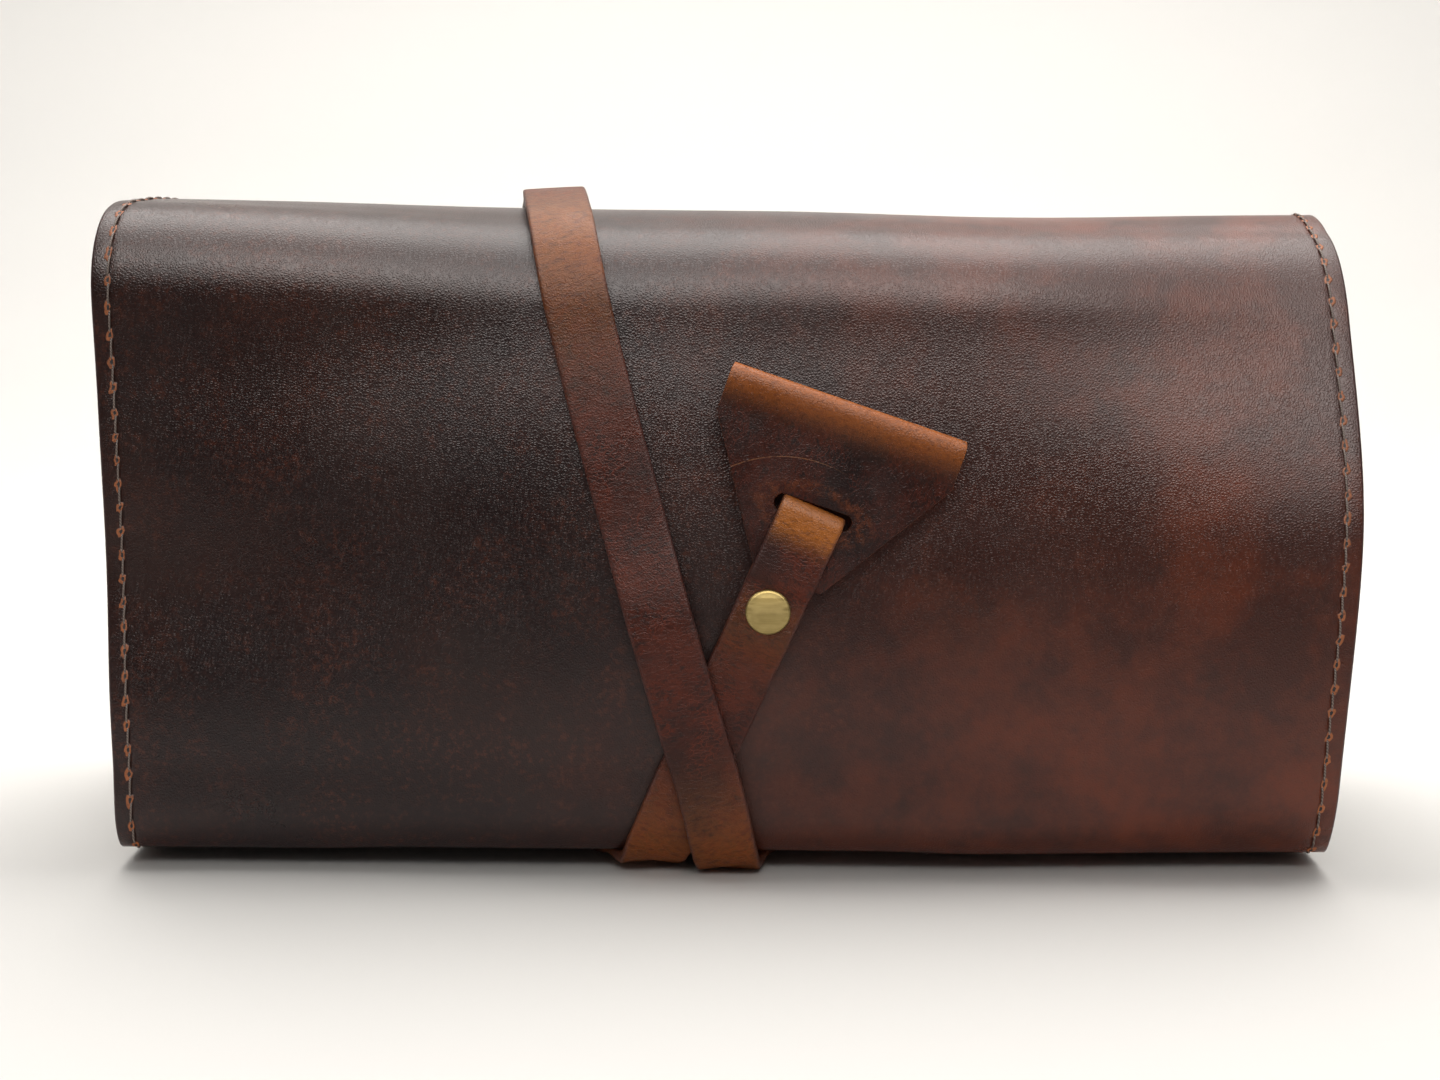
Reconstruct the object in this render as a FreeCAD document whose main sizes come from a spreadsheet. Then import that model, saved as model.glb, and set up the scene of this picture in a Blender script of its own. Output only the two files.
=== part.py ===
"""A leather brush roll, rolled up and closed by a wound strap with a folded toggle.

The roll lies along X with the toggle on its front, at -Y, and +Z up. It rests on the
strap, on z = 0. The end view is a chain of tangent lines and arcs in the YZ plane, and
every layer of the roll is that chain, moved inwards.
"""
import FreeCAD
import Part

import math
import os

Vector = FreeCAD.Vector

# alias, value (millimetres or degrees), meaning
DIMENSIONS = [
    ("roll_width", 280.0, "length of the roll, end to end"),
    ("roll_y", 1.172, "shift that centres the roll with its strap and toggle on Y"),
    ("base_height", 2.4, "height of the cover's underside, on the strap"),
    ("flat_half", 27.3, "half of the flat under the roll"),
    ("corner_radius", 22.0, "lower corners"),
    ("corner_turn", 86.0, "turn of a lower corner"),
    ("wall_radius", 316.0, "front and back walls"),
    ("wall_turn", 19.0, "turn of a wall"),
    ("shoulder_radius", 27.0, "upper corners"),
    ("shoulder_turn", 47.0, "turn of a shoulder"),
    ("layer_pitch", 5.4, "from one turn of the roll to the next"),
    ("outer_end_climb", 13.0, "height of the outer end above the back corner"),
    ("inner_end_drop", 40.0, "length of the inner end, down the front wall"),
    ("cover_thickness", 2.0, "outer leather"),
    ("layer_gap", 0.2, "between leather, lining and pockets"),
    ("lining_thickness", 0.8, "lining"),
    ("pocket_thickness", 1.0, "pocket panel and brush flap"),
    ("lining_setback", 55.0, "lining's end to the cover's outer end"),
    ("pocket_edge", 10.0, "right edge of the pocket panel"),
    ("flap_edge", 25.0, "left edge of the brush flap"),
    ("thread_radius", 0.4, "seam thread"),
    ("seam_inset", 4.0, "seam to the nearest edge"),
    ("divider_count", 20.0, "stitch rows between the pockets"),
    ("strap_width", 14.7, "strap"),
    ("strap_thickness", 2.1, "strap"),
    ("strap_gap", 0.35, "strap to cover"),
    ("crossing_lift", 2.7, "how far the first pass stands out over the second"),
    ("strap_fold_thickness", 2.0, "strap where it is folded into the loop"),
    ("tab_thickness", 1.6, "toggle leather"),
    ("tab_fold_width", 54.4, "toggle, along its fold"),
    ("tab_side", 11.2, "straight sides of the toggle"),
    ("tab_length", 42.2, "toggle, fold to tip"),
    ("tab_tip_width", 15.1, "toggle's tip"),
    ("tab_back_length", 15.0, "turned-in layer behind the fold"),
    ("tab_yaw", -5.0, "toggle to the strap's direction"),
    ("slot_length", 19.5, "toggle's slot"),
    ("toggle_lean", 23.6, "strap's direction at the toggle, from vertical"),
    ("toggle_x", 9.2, "toggle rivet"),
    ("toggle_climb", 39.0, "toggle rivet above the front corner, along the wall"),
    ("cap_radius", 5.0, "rivet's front cap"),
    ("cap_rim", 0.5, "rivet cap's rim"),
    ("cap_dome", 1.0, "rivet cap's dome, above its rim"),
    ("back_cap_radius", 4.5, "rivet's back cap"),
    ("back_cap_thickness", 0.8, "rivet's back cap"),
    ("post_radius", 1.5, "rivet's post"),
    ("hole_radius", 1.65, "rivet hole"),
]

DIM = {alias: value for alias, value, meaning in DIMENSIONS}


def make_sheet(doc):
    """The driving dimensions, one row each."""
    sheet = doc.addObject("Spreadsheet::Sheet", "Dims")
    for row, (alias, value, meaning) in enumerate(DIMENSIONS, start=1):
        sheet.set(f"A{row}", meaning)
        sheet.set(f"B{row}", str(value))
        sheet.setAlias(f"B{row}", alias)
    return sheet


# --- the end view: chains of tangent lines and left-hand arcs ---------------------

class Span:
    """One line (radius 0) or left-hand arc of the cover's outer surface, in (y, z)."""

    def __init__(self, y, z, heading, radius, length):
        self.y, self.z, self.heading = y, z, heading
        self.radius, self.length = radius, length

    def heading_at(self, distance):
        if not self.radius:
            return self.heading
        return self.heading + distance / self.radius

    def point(self, distance, inward=0.0):
        """The point at a distance along the span, moved inwards."""
        heading = self.heading_at(distance)
        y, z = self.y, self.z
        if self.radius:
            y += self.radius * (math.sin(heading) - math.sin(self.heading))
            z += self.radius * (math.cos(self.heading) - math.cos(heading))
        else:
            y += distance * math.cos(heading)
            z += distance * math.sin(heading)
        return y - inward * math.sin(heading), z + inward * math.cos(heading)

    def part(self, start, end):
        y, z = self.point(start)
        return Span(y, z, self.heading_at(start), self.radius, end - start)

    def curve(self, inward):
        """The span as a sketch's geometry, moved inwards."""
        first = Vector(*self.point(0, inward), 0)
        last = Vector(*self.point(self.length, inward), 0)
        if not self.radius:
            return Part.LineSegment(first, last)
        centre = Vector(*self.point(0, self.radius), 0)
        circle = Part.Circle(centre, Vector(0, 0, 1), self.radius - inward)
        quarter = math.pi / 2
        return Part.ArcOfCircle(circle, self.heading - quarter, self.heading_at(self.length) - quarter)


def chain(y, z, heading, pieces):
    """Spans joined end to end. A piece is (0, length) or (radius, turn in degrees)."""
    spans = []
    for radius, size in pieces:
        length = radius * math.radians(size) if radius else size
        spans.append(Span(y, z, heading, radius, length))
        y, z = spans[-1].point(length)
        heading = spans[-1].heading_at(length)
    return spans


def chain_length(spans):
    return sum(span.length for span in spans)


def chain_between(spans, start, end):
    """The stretch of a chain between two distances along it."""
    kept, passed = [], 0.0
    for span in spans:
        low, high = max(start - passed, 0.0), min(end - passed, span.length)
        if high - low > 1e-6:
            kept.append(span.part(low, high))
        passed += span.length
    return kept


def chain_at(spans, distance):
    """(y, z, heading) at a distance along a chain."""
    for span in spans:
        if distance <= span.length:
            break
        distance -= span.length
    return (*span.point(distance), span.heading_at(distance))


TURNS = [DIM["corner_turn"], DIM["wall_turn"], DIM["shoulder_turn"]]
DOME_TURN = 180.0 - sum(TURNS)


def dome_radius():
    """The top's radius that closes the outline on the roll's middle plane."""
    reach, heading = DIM["flat_half"], 0.0
    for radius, turn in zip([DIM["corner_radius"], DIM["wall_radius"], DIM["shoulder_radius"]], TURNS):
        reach += radius * (math.sin(math.radians(heading + turn)) - math.sin(math.radians(heading)))
        heading += turn
    return reach / math.sin(math.radians(heading))


def outline():
    """The roll's closed outer outline, from the middle of its flat, up its back."""
    half = [
        (0, DIM["flat_half"]),
        (DIM["corner_radius"], DIM["corner_turn"]),
        (DIM["wall_radius"], DIM["wall_turn"]),
        (DIM["shoulder_radius"], DIM["shoulder_turn"]),
        (dome_radius(), DOME_TURN),
    ]
    return chain(0, DIM["base_height"], 0.0, half + half[::-1])


def inner_turn():
    """The second turn, from the middle of the flat to the cover's inner end."""
    pitch = DIM["layer_pitch"]
    turn = math.radians(DIM["corner_turn"])
    ease = pitch * math.cos(turn) / (1 - math.cos(turn))
    return chain(0, DIM["base_height"], 0.0, [
        (0, DIM["flat_half"] - (pitch + ease) * math.sin(turn)),
        (DIM["corner_radius"] + ease, DIM["corner_turn"]),
        (DIM["wall_radius"] - pitch, DIM["wall_turn"]),
        (DIM["shoulder_radius"] - pitch, DIM["shoulder_turn"]),
        (dome_radius() - pitch, DOME_TURN),
        (dome_radius() - pitch, DOME_TURN),
        (DIM["shoulder_radius"] - pitch, DIM["shoulder_turn"]),
        (DIM["wall_radius"] - pitch, math.degrees(DIM["inner_end_drop"] / (DIM["wall_radius"] - pitch))),
    ])


OUTLINE = outline()
PERIMETER = chain_length(OUTLINE)
CORNER_TOP = DIM["flat_half"] + DIM["corner_radius"] * math.radians(DIM["corner_turn"])
OUTER_END = CORNER_TOP + DIM["outer_end_climb"]
SPIRAL = chain_between(OUTLINE, OUTER_END, PERIMETER) + inner_turn()
SPIRAL_LENGTH = chain_length(SPIRAL)

# Depth of each layer below the cover's outer surface
LINING_DEPTH = DIM["cover_thickness"] + DIM["layer_gap"]
POCKET_DEPTH = LINING_DEPTH + DIM["lining_thickness"] + DIM["layer_gap"]


# --- places on the roll -------------------------------------------------------------

def surface_frame(distance, x, lean=0.0):
    """A frame on the outline: Z is outwards and Y runs along the strap, which climbs
    away from the flat at the back, or towards the top at the front, leaning to +X."""
    y, z, heading = chain_at(OUTLINE, distance % PERIMETER)
    outwards = Vector(0, math.sin(heading), -math.cos(heading))
    climb = Vector(0, -math.cos(heading), -math.sin(heading))
    lean = math.radians(lean)
    along = climb * math.cos(lean) + Vector(1, 0, 0) * math.sin(lean)
    across = along.cross(outwards)
    rotation = FreeCAD.Rotation(across, along, outwards, "ZYX")
    return FreeCAD.Placement(Vector(x, y + DIM["roll_y"], z), rotation)


TOGGLE_CLIMB = CORNER_TOP + DIM["toggle_climb"]
TOGGLE_FRAME = surface_frame(-TOGGLE_CLIMB, DIM["toggle_x"], DIM["toggle_lean"])

# The strap's route: distance along the outline from the middle of the flat, clockwise
# (forwards under the roll and up its front), x, and the route's slope dx / distance
HALF_WAY = PERIMETER / 2
FRONT_FOOT = 45.0
TAIL_JOIN = 11.8
JOIN_CLIMB = TAIL_JOIN * math.cos(math.radians(DIM["toggle_lean"]))
JOIN_SHIFT = TAIL_JOIN * math.sin(math.radians(DIM["toggle_lean"]))
STRAP_START = -(OUTER_END + 42.0)
STRAP_ROUTE = [
    (STRAP_START, 24.0, -0.05),
    (FRONT_FOOT, 0.6, -0.30),
    (120.0, -21.2, -0.28),
    (HALF_WAY, -42.2, -0.10),
    (HALF_WAY + 106.0, -60.0, 0.0),
    (PERIMETER + FRONT_FOOT, -16.0, 0.53),
    (PERIMETER + TOGGLE_CLIMB - JOIN_CLIMB, DIM["toggle_x"] - JOIN_SHIFT,
     math.tan(math.radians(DIM["toggle_lean"]))),
]
HINGE_GAP = 0.15
ANCHOR_SPOTS = [OUTER_END + 12.0, OUTER_END + 30.0]


def route_x(distance):
    """(x, slope) of the strap: cubic Hermite pieces between the route's points."""
    for first, last in zip(STRAP_ROUTE, STRAP_ROUTE[1:]):
        if distance <= last[0]:
            break
    span = last[0] - first[0]
    u = (distance - first[0]) / span
    x = ((2 * u ** 3 - 3 * u ** 2 + 1) * first[1] + (u ** 3 - 2 * u ** 2 + u) * span * first[2]
         + (3 * u ** 2 - 2 * u ** 3) * last[1] + (u ** 3 - u ** 2) * span * last[2])
    slope = ((6 * u ** 2 - 6 * u) * first[1] / span + (3 * u ** 2 - 4 * u + 1) * first[2]
             + (6 * u - 6 * u ** 2) * last[1] / span + (3 * u ** 2 - 2 * u) * last[2])
    return x, slope


def smooth_step(value):
    value = min(max(value, 0.0), 1.0)
    return value * value * (3 - 2 * value)


def crossing_lift(distance):
    """How far the first pass stands out where it crosses over the second."""
    rise = smooth_step((distance - DIM["flat_half"] - 5.0) / 18.0)
    fall = smooth_step((CORNER_TOP + 60.0 - distance) / 26.0)
    return DIM["crossing_lift"] * rise * fall


# --- building blocks ------------------------------------------------------------------

def new_body(doc, label, placement=None):
    body = doc.addObject("PartDesign::Body", label)
    body.Label = label
    if placement:
        body.Placement = placement
    return body


def new_sketch(body, name, plane, geometry):
    """A sketch on one of the body's own origin planes."""
    sketch = body.newObject("Sketcher::SketchObject", name)
    origin_plane = [feature for feature in body.Origin.OriginFeatures if feature.Role == plane][0]
    sketch.AttachmentSupport = [(origin_plane, "")]
    sketch.MapMode = "FlatFace"
    for curve in geometry:
        sketch.addGeometry(curve, False)
    return sketch


def polygon(points):
    corners = [Vector(a, b, 0) for a, b in points]
    return [Part.LineSegment(a, b) for a, b in zip(corners, corners[1:] + corners[:1])]


def circle(x, y, radius):
    return Part.Circle(Vector(x, y, 0), Vector(0, 0, 1), radius)


def pad_across(body, geometry, width):
    """A pad of an end view, the same distance to both sides of the body's YZ plane."""
    sketch = new_sketch(body, body.Label + "_outline", "YZ_Plane", geometry)
    pad = body.newObject("PartDesign::Pad", body.Label + "_pad")
    pad.Profile = sketch
    pad.SideType = "Symmetric"
    pad.setExpression("Length", width)
    sketch.Visibility = False
    return pad


def pocket_through(body, name, geometry):
    """A cut at right angles to the body's XY plane, through all of it."""
    sketch = new_sketch(body, name + "_outline", "XY_Plane", geometry)
    pocket = body.newObject("PartDesign::Pocket", name)
    pocket.Profile = sketch
    pocket.SideType = "Symmetric"
    pocket.Type = "Length"
    pocket.Length = 60.0
    return pocket


def layer_geometry(depth, thickness, start, end):
    """The closed end view of one layer of the roll, between two distances."""
    spans = chain_between(SPIRAL, start, end)
    outer = [span.curve(depth) for span in spans]
    inner = [span.curve(depth + thickness) for span in spans]
    caps = []
    for span, distance in ((spans[0], 0.0), (spans[-1], spans[-1].length)):
        first = Vector(*span.point(distance, depth), 0)
        last = Vector(*span.point(distance, depth + thickness), 0)
        caps.append(Part.LineSegment(first, last))
    return outer + inner + caps


def layer(doc, label, depth, thickness, start, end, width="Dims.roll_width", middle="0"):
    """One sheet of the roll, rolled up, as long in X as its width."""
    body = new_body(doc, label)
    body.setExpression("Placement.Base.x", middle)
    body.setExpression("Placement.Base.y", "Dims.roll_y")
    pad_across(body, layer_geometry(depth, thickness, start, end), width)
    return body


def rivet_cap(doc, label, frame, top, post_end):
    """The domed cap and its post, turned about the frame's Z axis."""
    body = new_body(doc, label, frame)
    radius, rim, dome = DIM["cap_radius"], DIM["cap_rim"], DIM["cap_dome"]
    post = DIM["post_radius"]
    rise = (radius ** 2 + dome ** 2) / (2 * dome)
    start_angle = math.asin((rise - dome) / rise)
    middle = top + rim + dome - rise
    outline_lines = [
        (0, post_end, post, post_end),
        (post, post_end, post, top),
        (post, top, radius, top),
        (radius, top, radius, top + rim),
        (0, top + rim + dome, 0, post_end),
    ]
    geometry = [Part.LineSegment(Vector(a, b, 0), Vector(c, d, 0)) for a, b, c, d in outline_lines]
    geometry.append(Part.ArcOfCircle(circle(0, middle, rise), start_angle, math.pi / 2))
    revolve(body, geometry)
    return body


def rivet_back(doc, label, frame, top):
    """The flat back cap, with the seat that the post is pressed into."""
    body = new_body(doc, label, frame)
    radius, thickness = DIM["back_cap_radius"], DIM["back_cap_thickness"]
    seat, floor = DIM["post_radius"] + 0.05, top - thickness / 2
    revolve(body, polygon([(0, top - thickness), (radius, top - thickness), (radius, top),
                           (seat, top), (seat, floor), (0, floor)]))
    return body


def revolve(body, geometry):
    sketch = new_sketch(body, body.Label + "_section", "XZ_Plane", geometry)
    turned = body.newObject("PartDesign::Revolution", body.Label + "_turned")
    turned.Profile = sketch
    turned.ReferenceAxis = (sketch, ["V_Axis"])
    turned.Angle = 360.0
    return turned


# --- the roll's layers ------------------------------------------------------------------

def outer_cover(doc):
    """The long leather sheet, with the holes that the strap's rivets go through."""
    body = layer(doc, "cover_sheet", 0.0, DIM["cover_thickness"], 0.0, SPIRAL_LENGTH)
    return cut(doc, "outer_cover", body, anchor_hole_tools(doc, "cover_hole"))


def anchor_hole_tools(doc, name):
    """Drills for the strap's two rivets."""
    tools = []
    for number, (distance, frame) in enumerate(anchor_frames(), start=1):
        drill = doc.addObject("Part::Cylinder", f"{name}_{number}")
        drill.setExpression("Radius", "Dims.hole_radius")
        drill.Height = 7.0
        drill.Placement = frame.multiply(FreeCAD.Placement(Vector(0, 0, -3.0), FreeCAD.Rotation()))
        tools.append(drill)
    return tools


def cut(doc, label, base, tools):
    """The base less its tools."""
    fused = tools[0]
    if len(tools) > 1:
        fused = doc.addObject("Part::MultiFuse", label + "_tools")
        fused.Shapes = tools
    result = doc.addObject("Part::Cut", label)
    result.Label = label
    result.Base = base
    result.Tool = fused
    return result


def seam_thread(doc, label, side):
    """The row of stitches by one end of the roll, as one thread on the cover."""
    spans = chain_between(SPIRAL, DIM["seam_inset"], SPIRAL_LENGTH - DIM["seam_inset"])
    lift = -DIM["thread_radius"] - 0.02
    x = side * (DIM["roll_width"] / 2 - DIM["seam_inset"])
    to_end_view = FreeCAD.Placement(Vector(x, DIM["roll_y"], 0), FreeCAD.Rotation(Vector(1, 1, 1), 120))
    path = Part.Wire([span.curve(lift).toShape() for span in spans])
    start = Vector(*spans[0].point(0, lift), 0)
    along = Vector(math.cos(spans[0].heading), math.sin(spans[0].heading), 0)
    ring = Part.Wire([Part.Circle(start, along, DIM["thread_radius"]).toShape()])
    thread = doc.addObject("Part::Feature", label)
    thread.Label = label
    thread.Shape = path.makePipeShell([ring], True, False)
    thread.Placement = to_end_view
    return thread


def pocket_divider_threads(doc):
    """The stitch rows that divide the pocket panel, straight across it."""
    count = int(DIM["divider_count"])
    first, last = DIM["lining_setback"] + 14.0, SPIRAL_LENGTH - 14.0
    left, right = -DIM["roll_width"] / 2 + DIM["seam_inset"] + 1.5, DIM["pocket_edge"] - 2.0
    depth = POCKET_DEPTH + DIM["pocket_thickness"] + DIM["thread_radius"] + 0.02
    rows = []
    for number in range(count):
        distance = first + (last - first) * number / (count - 1)
        span = chain_between(SPIRAL, distance, distance + 1.0)[0]
        y, z = span.point(0, depth)
        row = doc.addObject("Part::Cylinder", f"divider_thread_{number + 1}")
        row.setExpression("Radius", "Dims.thread_radius")
        row.Height = right - left
        row.Placement = FreeCAD.Placement(Vector(left, y + DIM["roll_y"], z), FreeCAD.Rotation(Vector(0, 1, 0), 90))
        rows.append(row)
    return group(doc, "pocket_divider_threads", rows)


def group(doc, label, members):
    """Separate solids that share one node."""
    compound = doc.addObject("Part::Compound", label)
    compound.Label = label
    compound.Links = members
    return compound


# --- the strap ----------------------------------------------------------------------------

def strap_section(distance):
    """The strap's rectangular section, square to its route."""
    y, z, heading = chain_at(OUTLINE, -distance % PERIMETER)
    x, slope = route_x(distance)
    outwards = Vector(0, math.sin(heading), -math.cos(heading))
    along = Vector(slope, -math.cos(heading), -math.sin(heading)).normalize()
    across = along.cross(outwards).normalize()
    low = DIM["strap_gap"] + crossing_lift(distance)
    high = low + DIM["strap_thickness"]
    centre = Vector(x, y + DIM["roll_y"], z)
    half = DIM["strap_width"] / 2
    corners = [centre + across * side * half + outwards * height
               for side, height in ((-1, low), (1, low), (1, high), (-1, high))]
    return Part.Wire([edge.toShape() for edge in
                      (Part.LineSegment(a, b) for a, b in zip(corners, corners[1:] + corners[:1]))])


STATION_LENGTH, STATION_TURN = 18.0, 10.5


def strap_stations():
    """Distances along the strap's route: close together round the tight bends."""
    end = STRAP_ROUTE[-1][0] - HINGE_GAP * math.cos(math.radians(DIM["toggle_lean"]))
    joins, passed = [], 0.0
    for span in OUTLINE[::-1]:
        steps = 1
        if span.radius:
            turn = math.degrees(span.length / span.radius)
            steps = math.ceil(max(turn / STATION_TURN, span.length / STATION_LENGTH))
        joins += [passed + span.length * step / steps for step in range(steps)]
        passed += span.length
    laps = [joint + lap * PERIMETER for lap in (-1, 0, 1) for joint in joins]
    inside = [distance for distance in laps if STRAP_START + 2 < distance < end - 2]
    return [STRAP_START] + inside + [end]


def strap_wrap(doc):
    """The wound part of the strap, flattened where the roll's weight rests on it."""
    band = doc.addObject("Part::Feature", "strap_band")
    band.Shape = Part.makeLoft([strap_section(distance) for distance in strap_stations()], True, True)
    ground = doc.addObject("Part::Box", "strap_ground")
    ground.setExpression("Length", "Dims.roll_width")
    ground.Width = 120.0
    ground.Height = 5.0
    ground.Placement = FreeCAD.Placement(Vector(-DIM["roll_width"] / 2, -60.0, -5.0), FreeCAD.Rotation())
    return cut(doc, "strap_wrap", band, [ground] + anchor_hole_tools(doc, "strap_hole"))


# The folded end of the strap, in the toggle's frame: y along the strap from the rivet, z
# outwards from the cover
FOLD = DIM["strap_fold_thickness"]
RETURN_LOW, RETURN_END = 0.8, -7.5
RETURN_TOP = RETURN_LOW + FOLD
JOIN_LOW, JOIN_HIGH = 0.15, 2.25
RISE_LOW = 1.35
RISE_MIDDLE, RISE_END = (-8.0, 3.4), -5.2
BACK_CAP_TOP = 1.1
RIVET_TOP = RETURN_TOP + FOLD
LOOP_LOW = RETURN_TOP + 2.2
LOOP_HIGH = LOOP_LOW + FOLD
LOOP_MIDDLE = (RETURN_TOP + LOOP_LOW) / 2
LOOP_INNER = (LOOP_LOW - RETURN_TOP) / 2
LOOP_OUTER = LOOP_INNER + FOLD
LOOP_CENTRE = 22.4
RAMP_START, RAMP_END = 5.6, 9.0
LOOP_JOIN = 6.3
RAMP_ANGLE = math.atan2(LOOP_LOW - RETURN_TOP, RAMP_END - RAMP_START)
RAMP_SHIFT = FOLD * math.tan(RAMP_ANGLE / 2)


def ramp_low(along):
    return RETURN_TOP + (along - RAMP_START) * math.tan(RAMP_ANGLE)


def ramp_high(along):
    return RIVET_TOP + (along - RAMP_START + RAMP_SHIFT) * math.tan(RAMP_ANGLE)


def strap_tail(doc):
    """The riveted end: the strap, and beneath it the end that comes back from the loop."""
    body = new_body(doc, "strap_tail", TOGGLE_FRAME)
    start, end = -TAIL_JOIN + HINGE_GAP, LOOP_JOIN - HINGE_GAP
    pad_across(body, polygon([
        (start, JOIN_LOW), (RETURN_END, RISE_LOW), (RETURN_END, RETURN_LOW), (end, RETURN_LOW),
        (end, RETURN_TOP), (RAMP_START, RETURN_TOP), (end, ramp_low(end)), (end, ramp_high(end)),
        (RAMP_START - RAMP_SHIFT, RIVET_TOP), (RISE_END, RIVET_TOP), RISE_MIDDLE, (start, JOIN_HIGH)]),
        "Dims.strap_width")
    pocket_through(body, "rivet_hole", [circle(0, 0, DIM["hole_radius"])])
    seat = pocket_through(body, "back_cap_seat", [circle(0, 0, DIM["back_cap_radius"] + 0.15)])
    seat.Length = 2 * BACK_CAP_TOP
    return body


def strap_loop(doc):
    """The loop that holds the toggle: two legs and the bend that joins them."""
    body = new_body(doc, "strap_loop", TOGGLE_FRAME)
    start = LOOP_JOIN + HINGE_GAP
    quarter = math.pi / 2

    def line(a, b, c, d):
        return Part.LineSegment(Vector(a, b, 0), Vector(c, d, 0))

    geometry = [
        line(start, RETURN_LOW, LOOP_CENTRE, RETURN_LOW),
        Part.ArcOfCircle(circle(LOOP_CENTRE, LOOP_MIDDLE, LOOP_OUTER), -quarter, quarter),
        line(LOOP_CENTRE, LOOP_HIGH, RAMP_END - RAMP_SHIFT, LOOP_HIGH),
        line(RAMP_END - RAMP_SHIFT, LOOP_HIGH, start, ramp_high(start)),
        line(start, ramp_high(start), start, ramp_low(start)),
        line(start, ramp_low(start), RAMP_END, LOOP_LOW),
        line(RAMP_END, LOOP_LOW, LOOP_CENTRE, LOOP_LOW),
        Part.ArcOfCircle(circle(LOOP_CENTRE, LOOP_MIDDLE, LOOP_INNER), -quarter, quarter),
        line(LOOP_CENTRE, RETURN_TOP, start, RETURN_TOP),
        line(start, RETURN_TOP, start, RETURN_LOW),
    ]
    pad_across(body, geometry, "Dims.strap_width")
    return body


# --- the toggle -----------------------------------------------------------------------------

SLOT_NEAR, SLOT_FAR = 22.2, 26.45
SLOT_MIDDLE = (SLOT_NEAR + SLOT_FAR) / 2
TAB_WEB = RETURN_TOP + 0.3
SLOT_TO_FOLD = 23.2
FOLD_EDGE = SLOT_TO_FOLD + (SLOT_FAR - SLOT_NEAR) / 2
SKIVE_LENGTH, SKIVE_EDGE = 2.2, 0.4


def toggle_tab(doc):
    """The folded tab, pared thin at its tip under the loop. Its frame is on the bend, turned by the yaw."""
    turn = FreeCAD.Placement(Vector(0, SLOT_MIDDLE, 0), FreeCAD.Rotation(Vector(0, 0, 1), -DIM["tab_yaw"]))
    body = new_body(doc, "toggle_tab", TOGGLE_FRAME.multiply(turn))
    skin = DIM["tab_thickness"]
    tip = FOLD_EDGE - DIM["tab_length"]
    nose, back_end = FOLD_EDGE - skin, FOLD_EDGE - DIM["tab_back_length"]
    quarter = math.pi / 2
    section = polygon([
        (tip, TAB_WEB), (back_end, TAB_WEB), (back_end, TAB_WEB - skin), (nose, TAB_WEB - skin),
        (nose, TAB_WEB + skin), (tip + SKIVE_LENGTH, TAB_WEB + skin), (tip, TAB_WEB + SKIVE_EDGE)])
    del section[3]
    section.append(Part.ArcOfCircle(circle(nose, TAB_WEB, skin), -quarter, quarter))
    pad_across(body, section, "Dims.tab_fold_width")
    half, tip_half = DIM["tab_fold_width"] / 2, DIM["tab_tip_width"] / 2
    side_end = FOLD_EDGE - DIM["tab_side"]
    for side, name in ((-1, "left_slope"), (1, "right_slope")):
        pocket_through(body, name, polygon([
            (side * half, side_end), (side * tip_half, tip), (side * tip_half, tip - 5),
            (side * (half + 5), tip - 5), (side * (half + 5), side_end)]))
    pocket_through(body, "slot", slot_geometry())
    return body


def slot_geometry():
    """The slot across the tab, with round ends."""
    radius = (SLOT_FAR - SLOT_NEAR) / 2
    end = DIM["slot_length"] / 2 - radius
    quarter = math.pi / 2
    return [
        Part.LineSegment(Vector(-end, -radius, 0), Vector(end, -radius, 0)),
        Part.ArcOfCircle(circle(end, 0, radius), -quarter, quarter),
        Part.LineSegment(Vector(end, radius, 0), Vector(-end, radius, 0)),
        Part.ArcOfCircle(circle(-end, 0, radius), quarter, 3 * quarter),
    ]


# --- the rivets -------------------------------------------------------------------------------

def anchor_frames():
    """The strap's two rivets on the cover's outer end, each with its distance."""
    frames = []
    for distance in ANCHOR_SPOTS:
        x, slope = route_x(-distance)
        frames.append((distance, surface_frame(distance, x, math.degrees(math.atan(slope)))))
    return frames


def anchor_rivets(doc):
    """Caps and backs of the strap's two rivets."""
    top = DIM["strap_gap"] + DIM["strap_thickness"]
    low = -DIM["cover_thickness"] - 0.06
    caps, backs = [], []
    for number, (distance, frame) in enumerate(anchor_frames(), start=1):
        caps.append(rivet_cap(doc, f"anchor_cap_{number}", frame, top, low - 0.32))
        backs.append(rivet_back(doc, f"anchor_back_{number}", frame, low))
    return [group(doc, "anchor_rivet_caps", caps), group(doc, "anchor_rivet_backs", backs)]


def toggle_rivet(doc):
    return [
        rivet_cap(doc, "toggle_rivet_cap", TOGGLE_FRAME, RIVET_TOP, BACK_CAP_TOP - 0.38),
        rivet_back(doc, "toggle_rivet_back", TOGGLE_FRAME, BACK_CAP_TOP),
    ]


# --- the whole -----------------------------------------------------------------------------------

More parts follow.
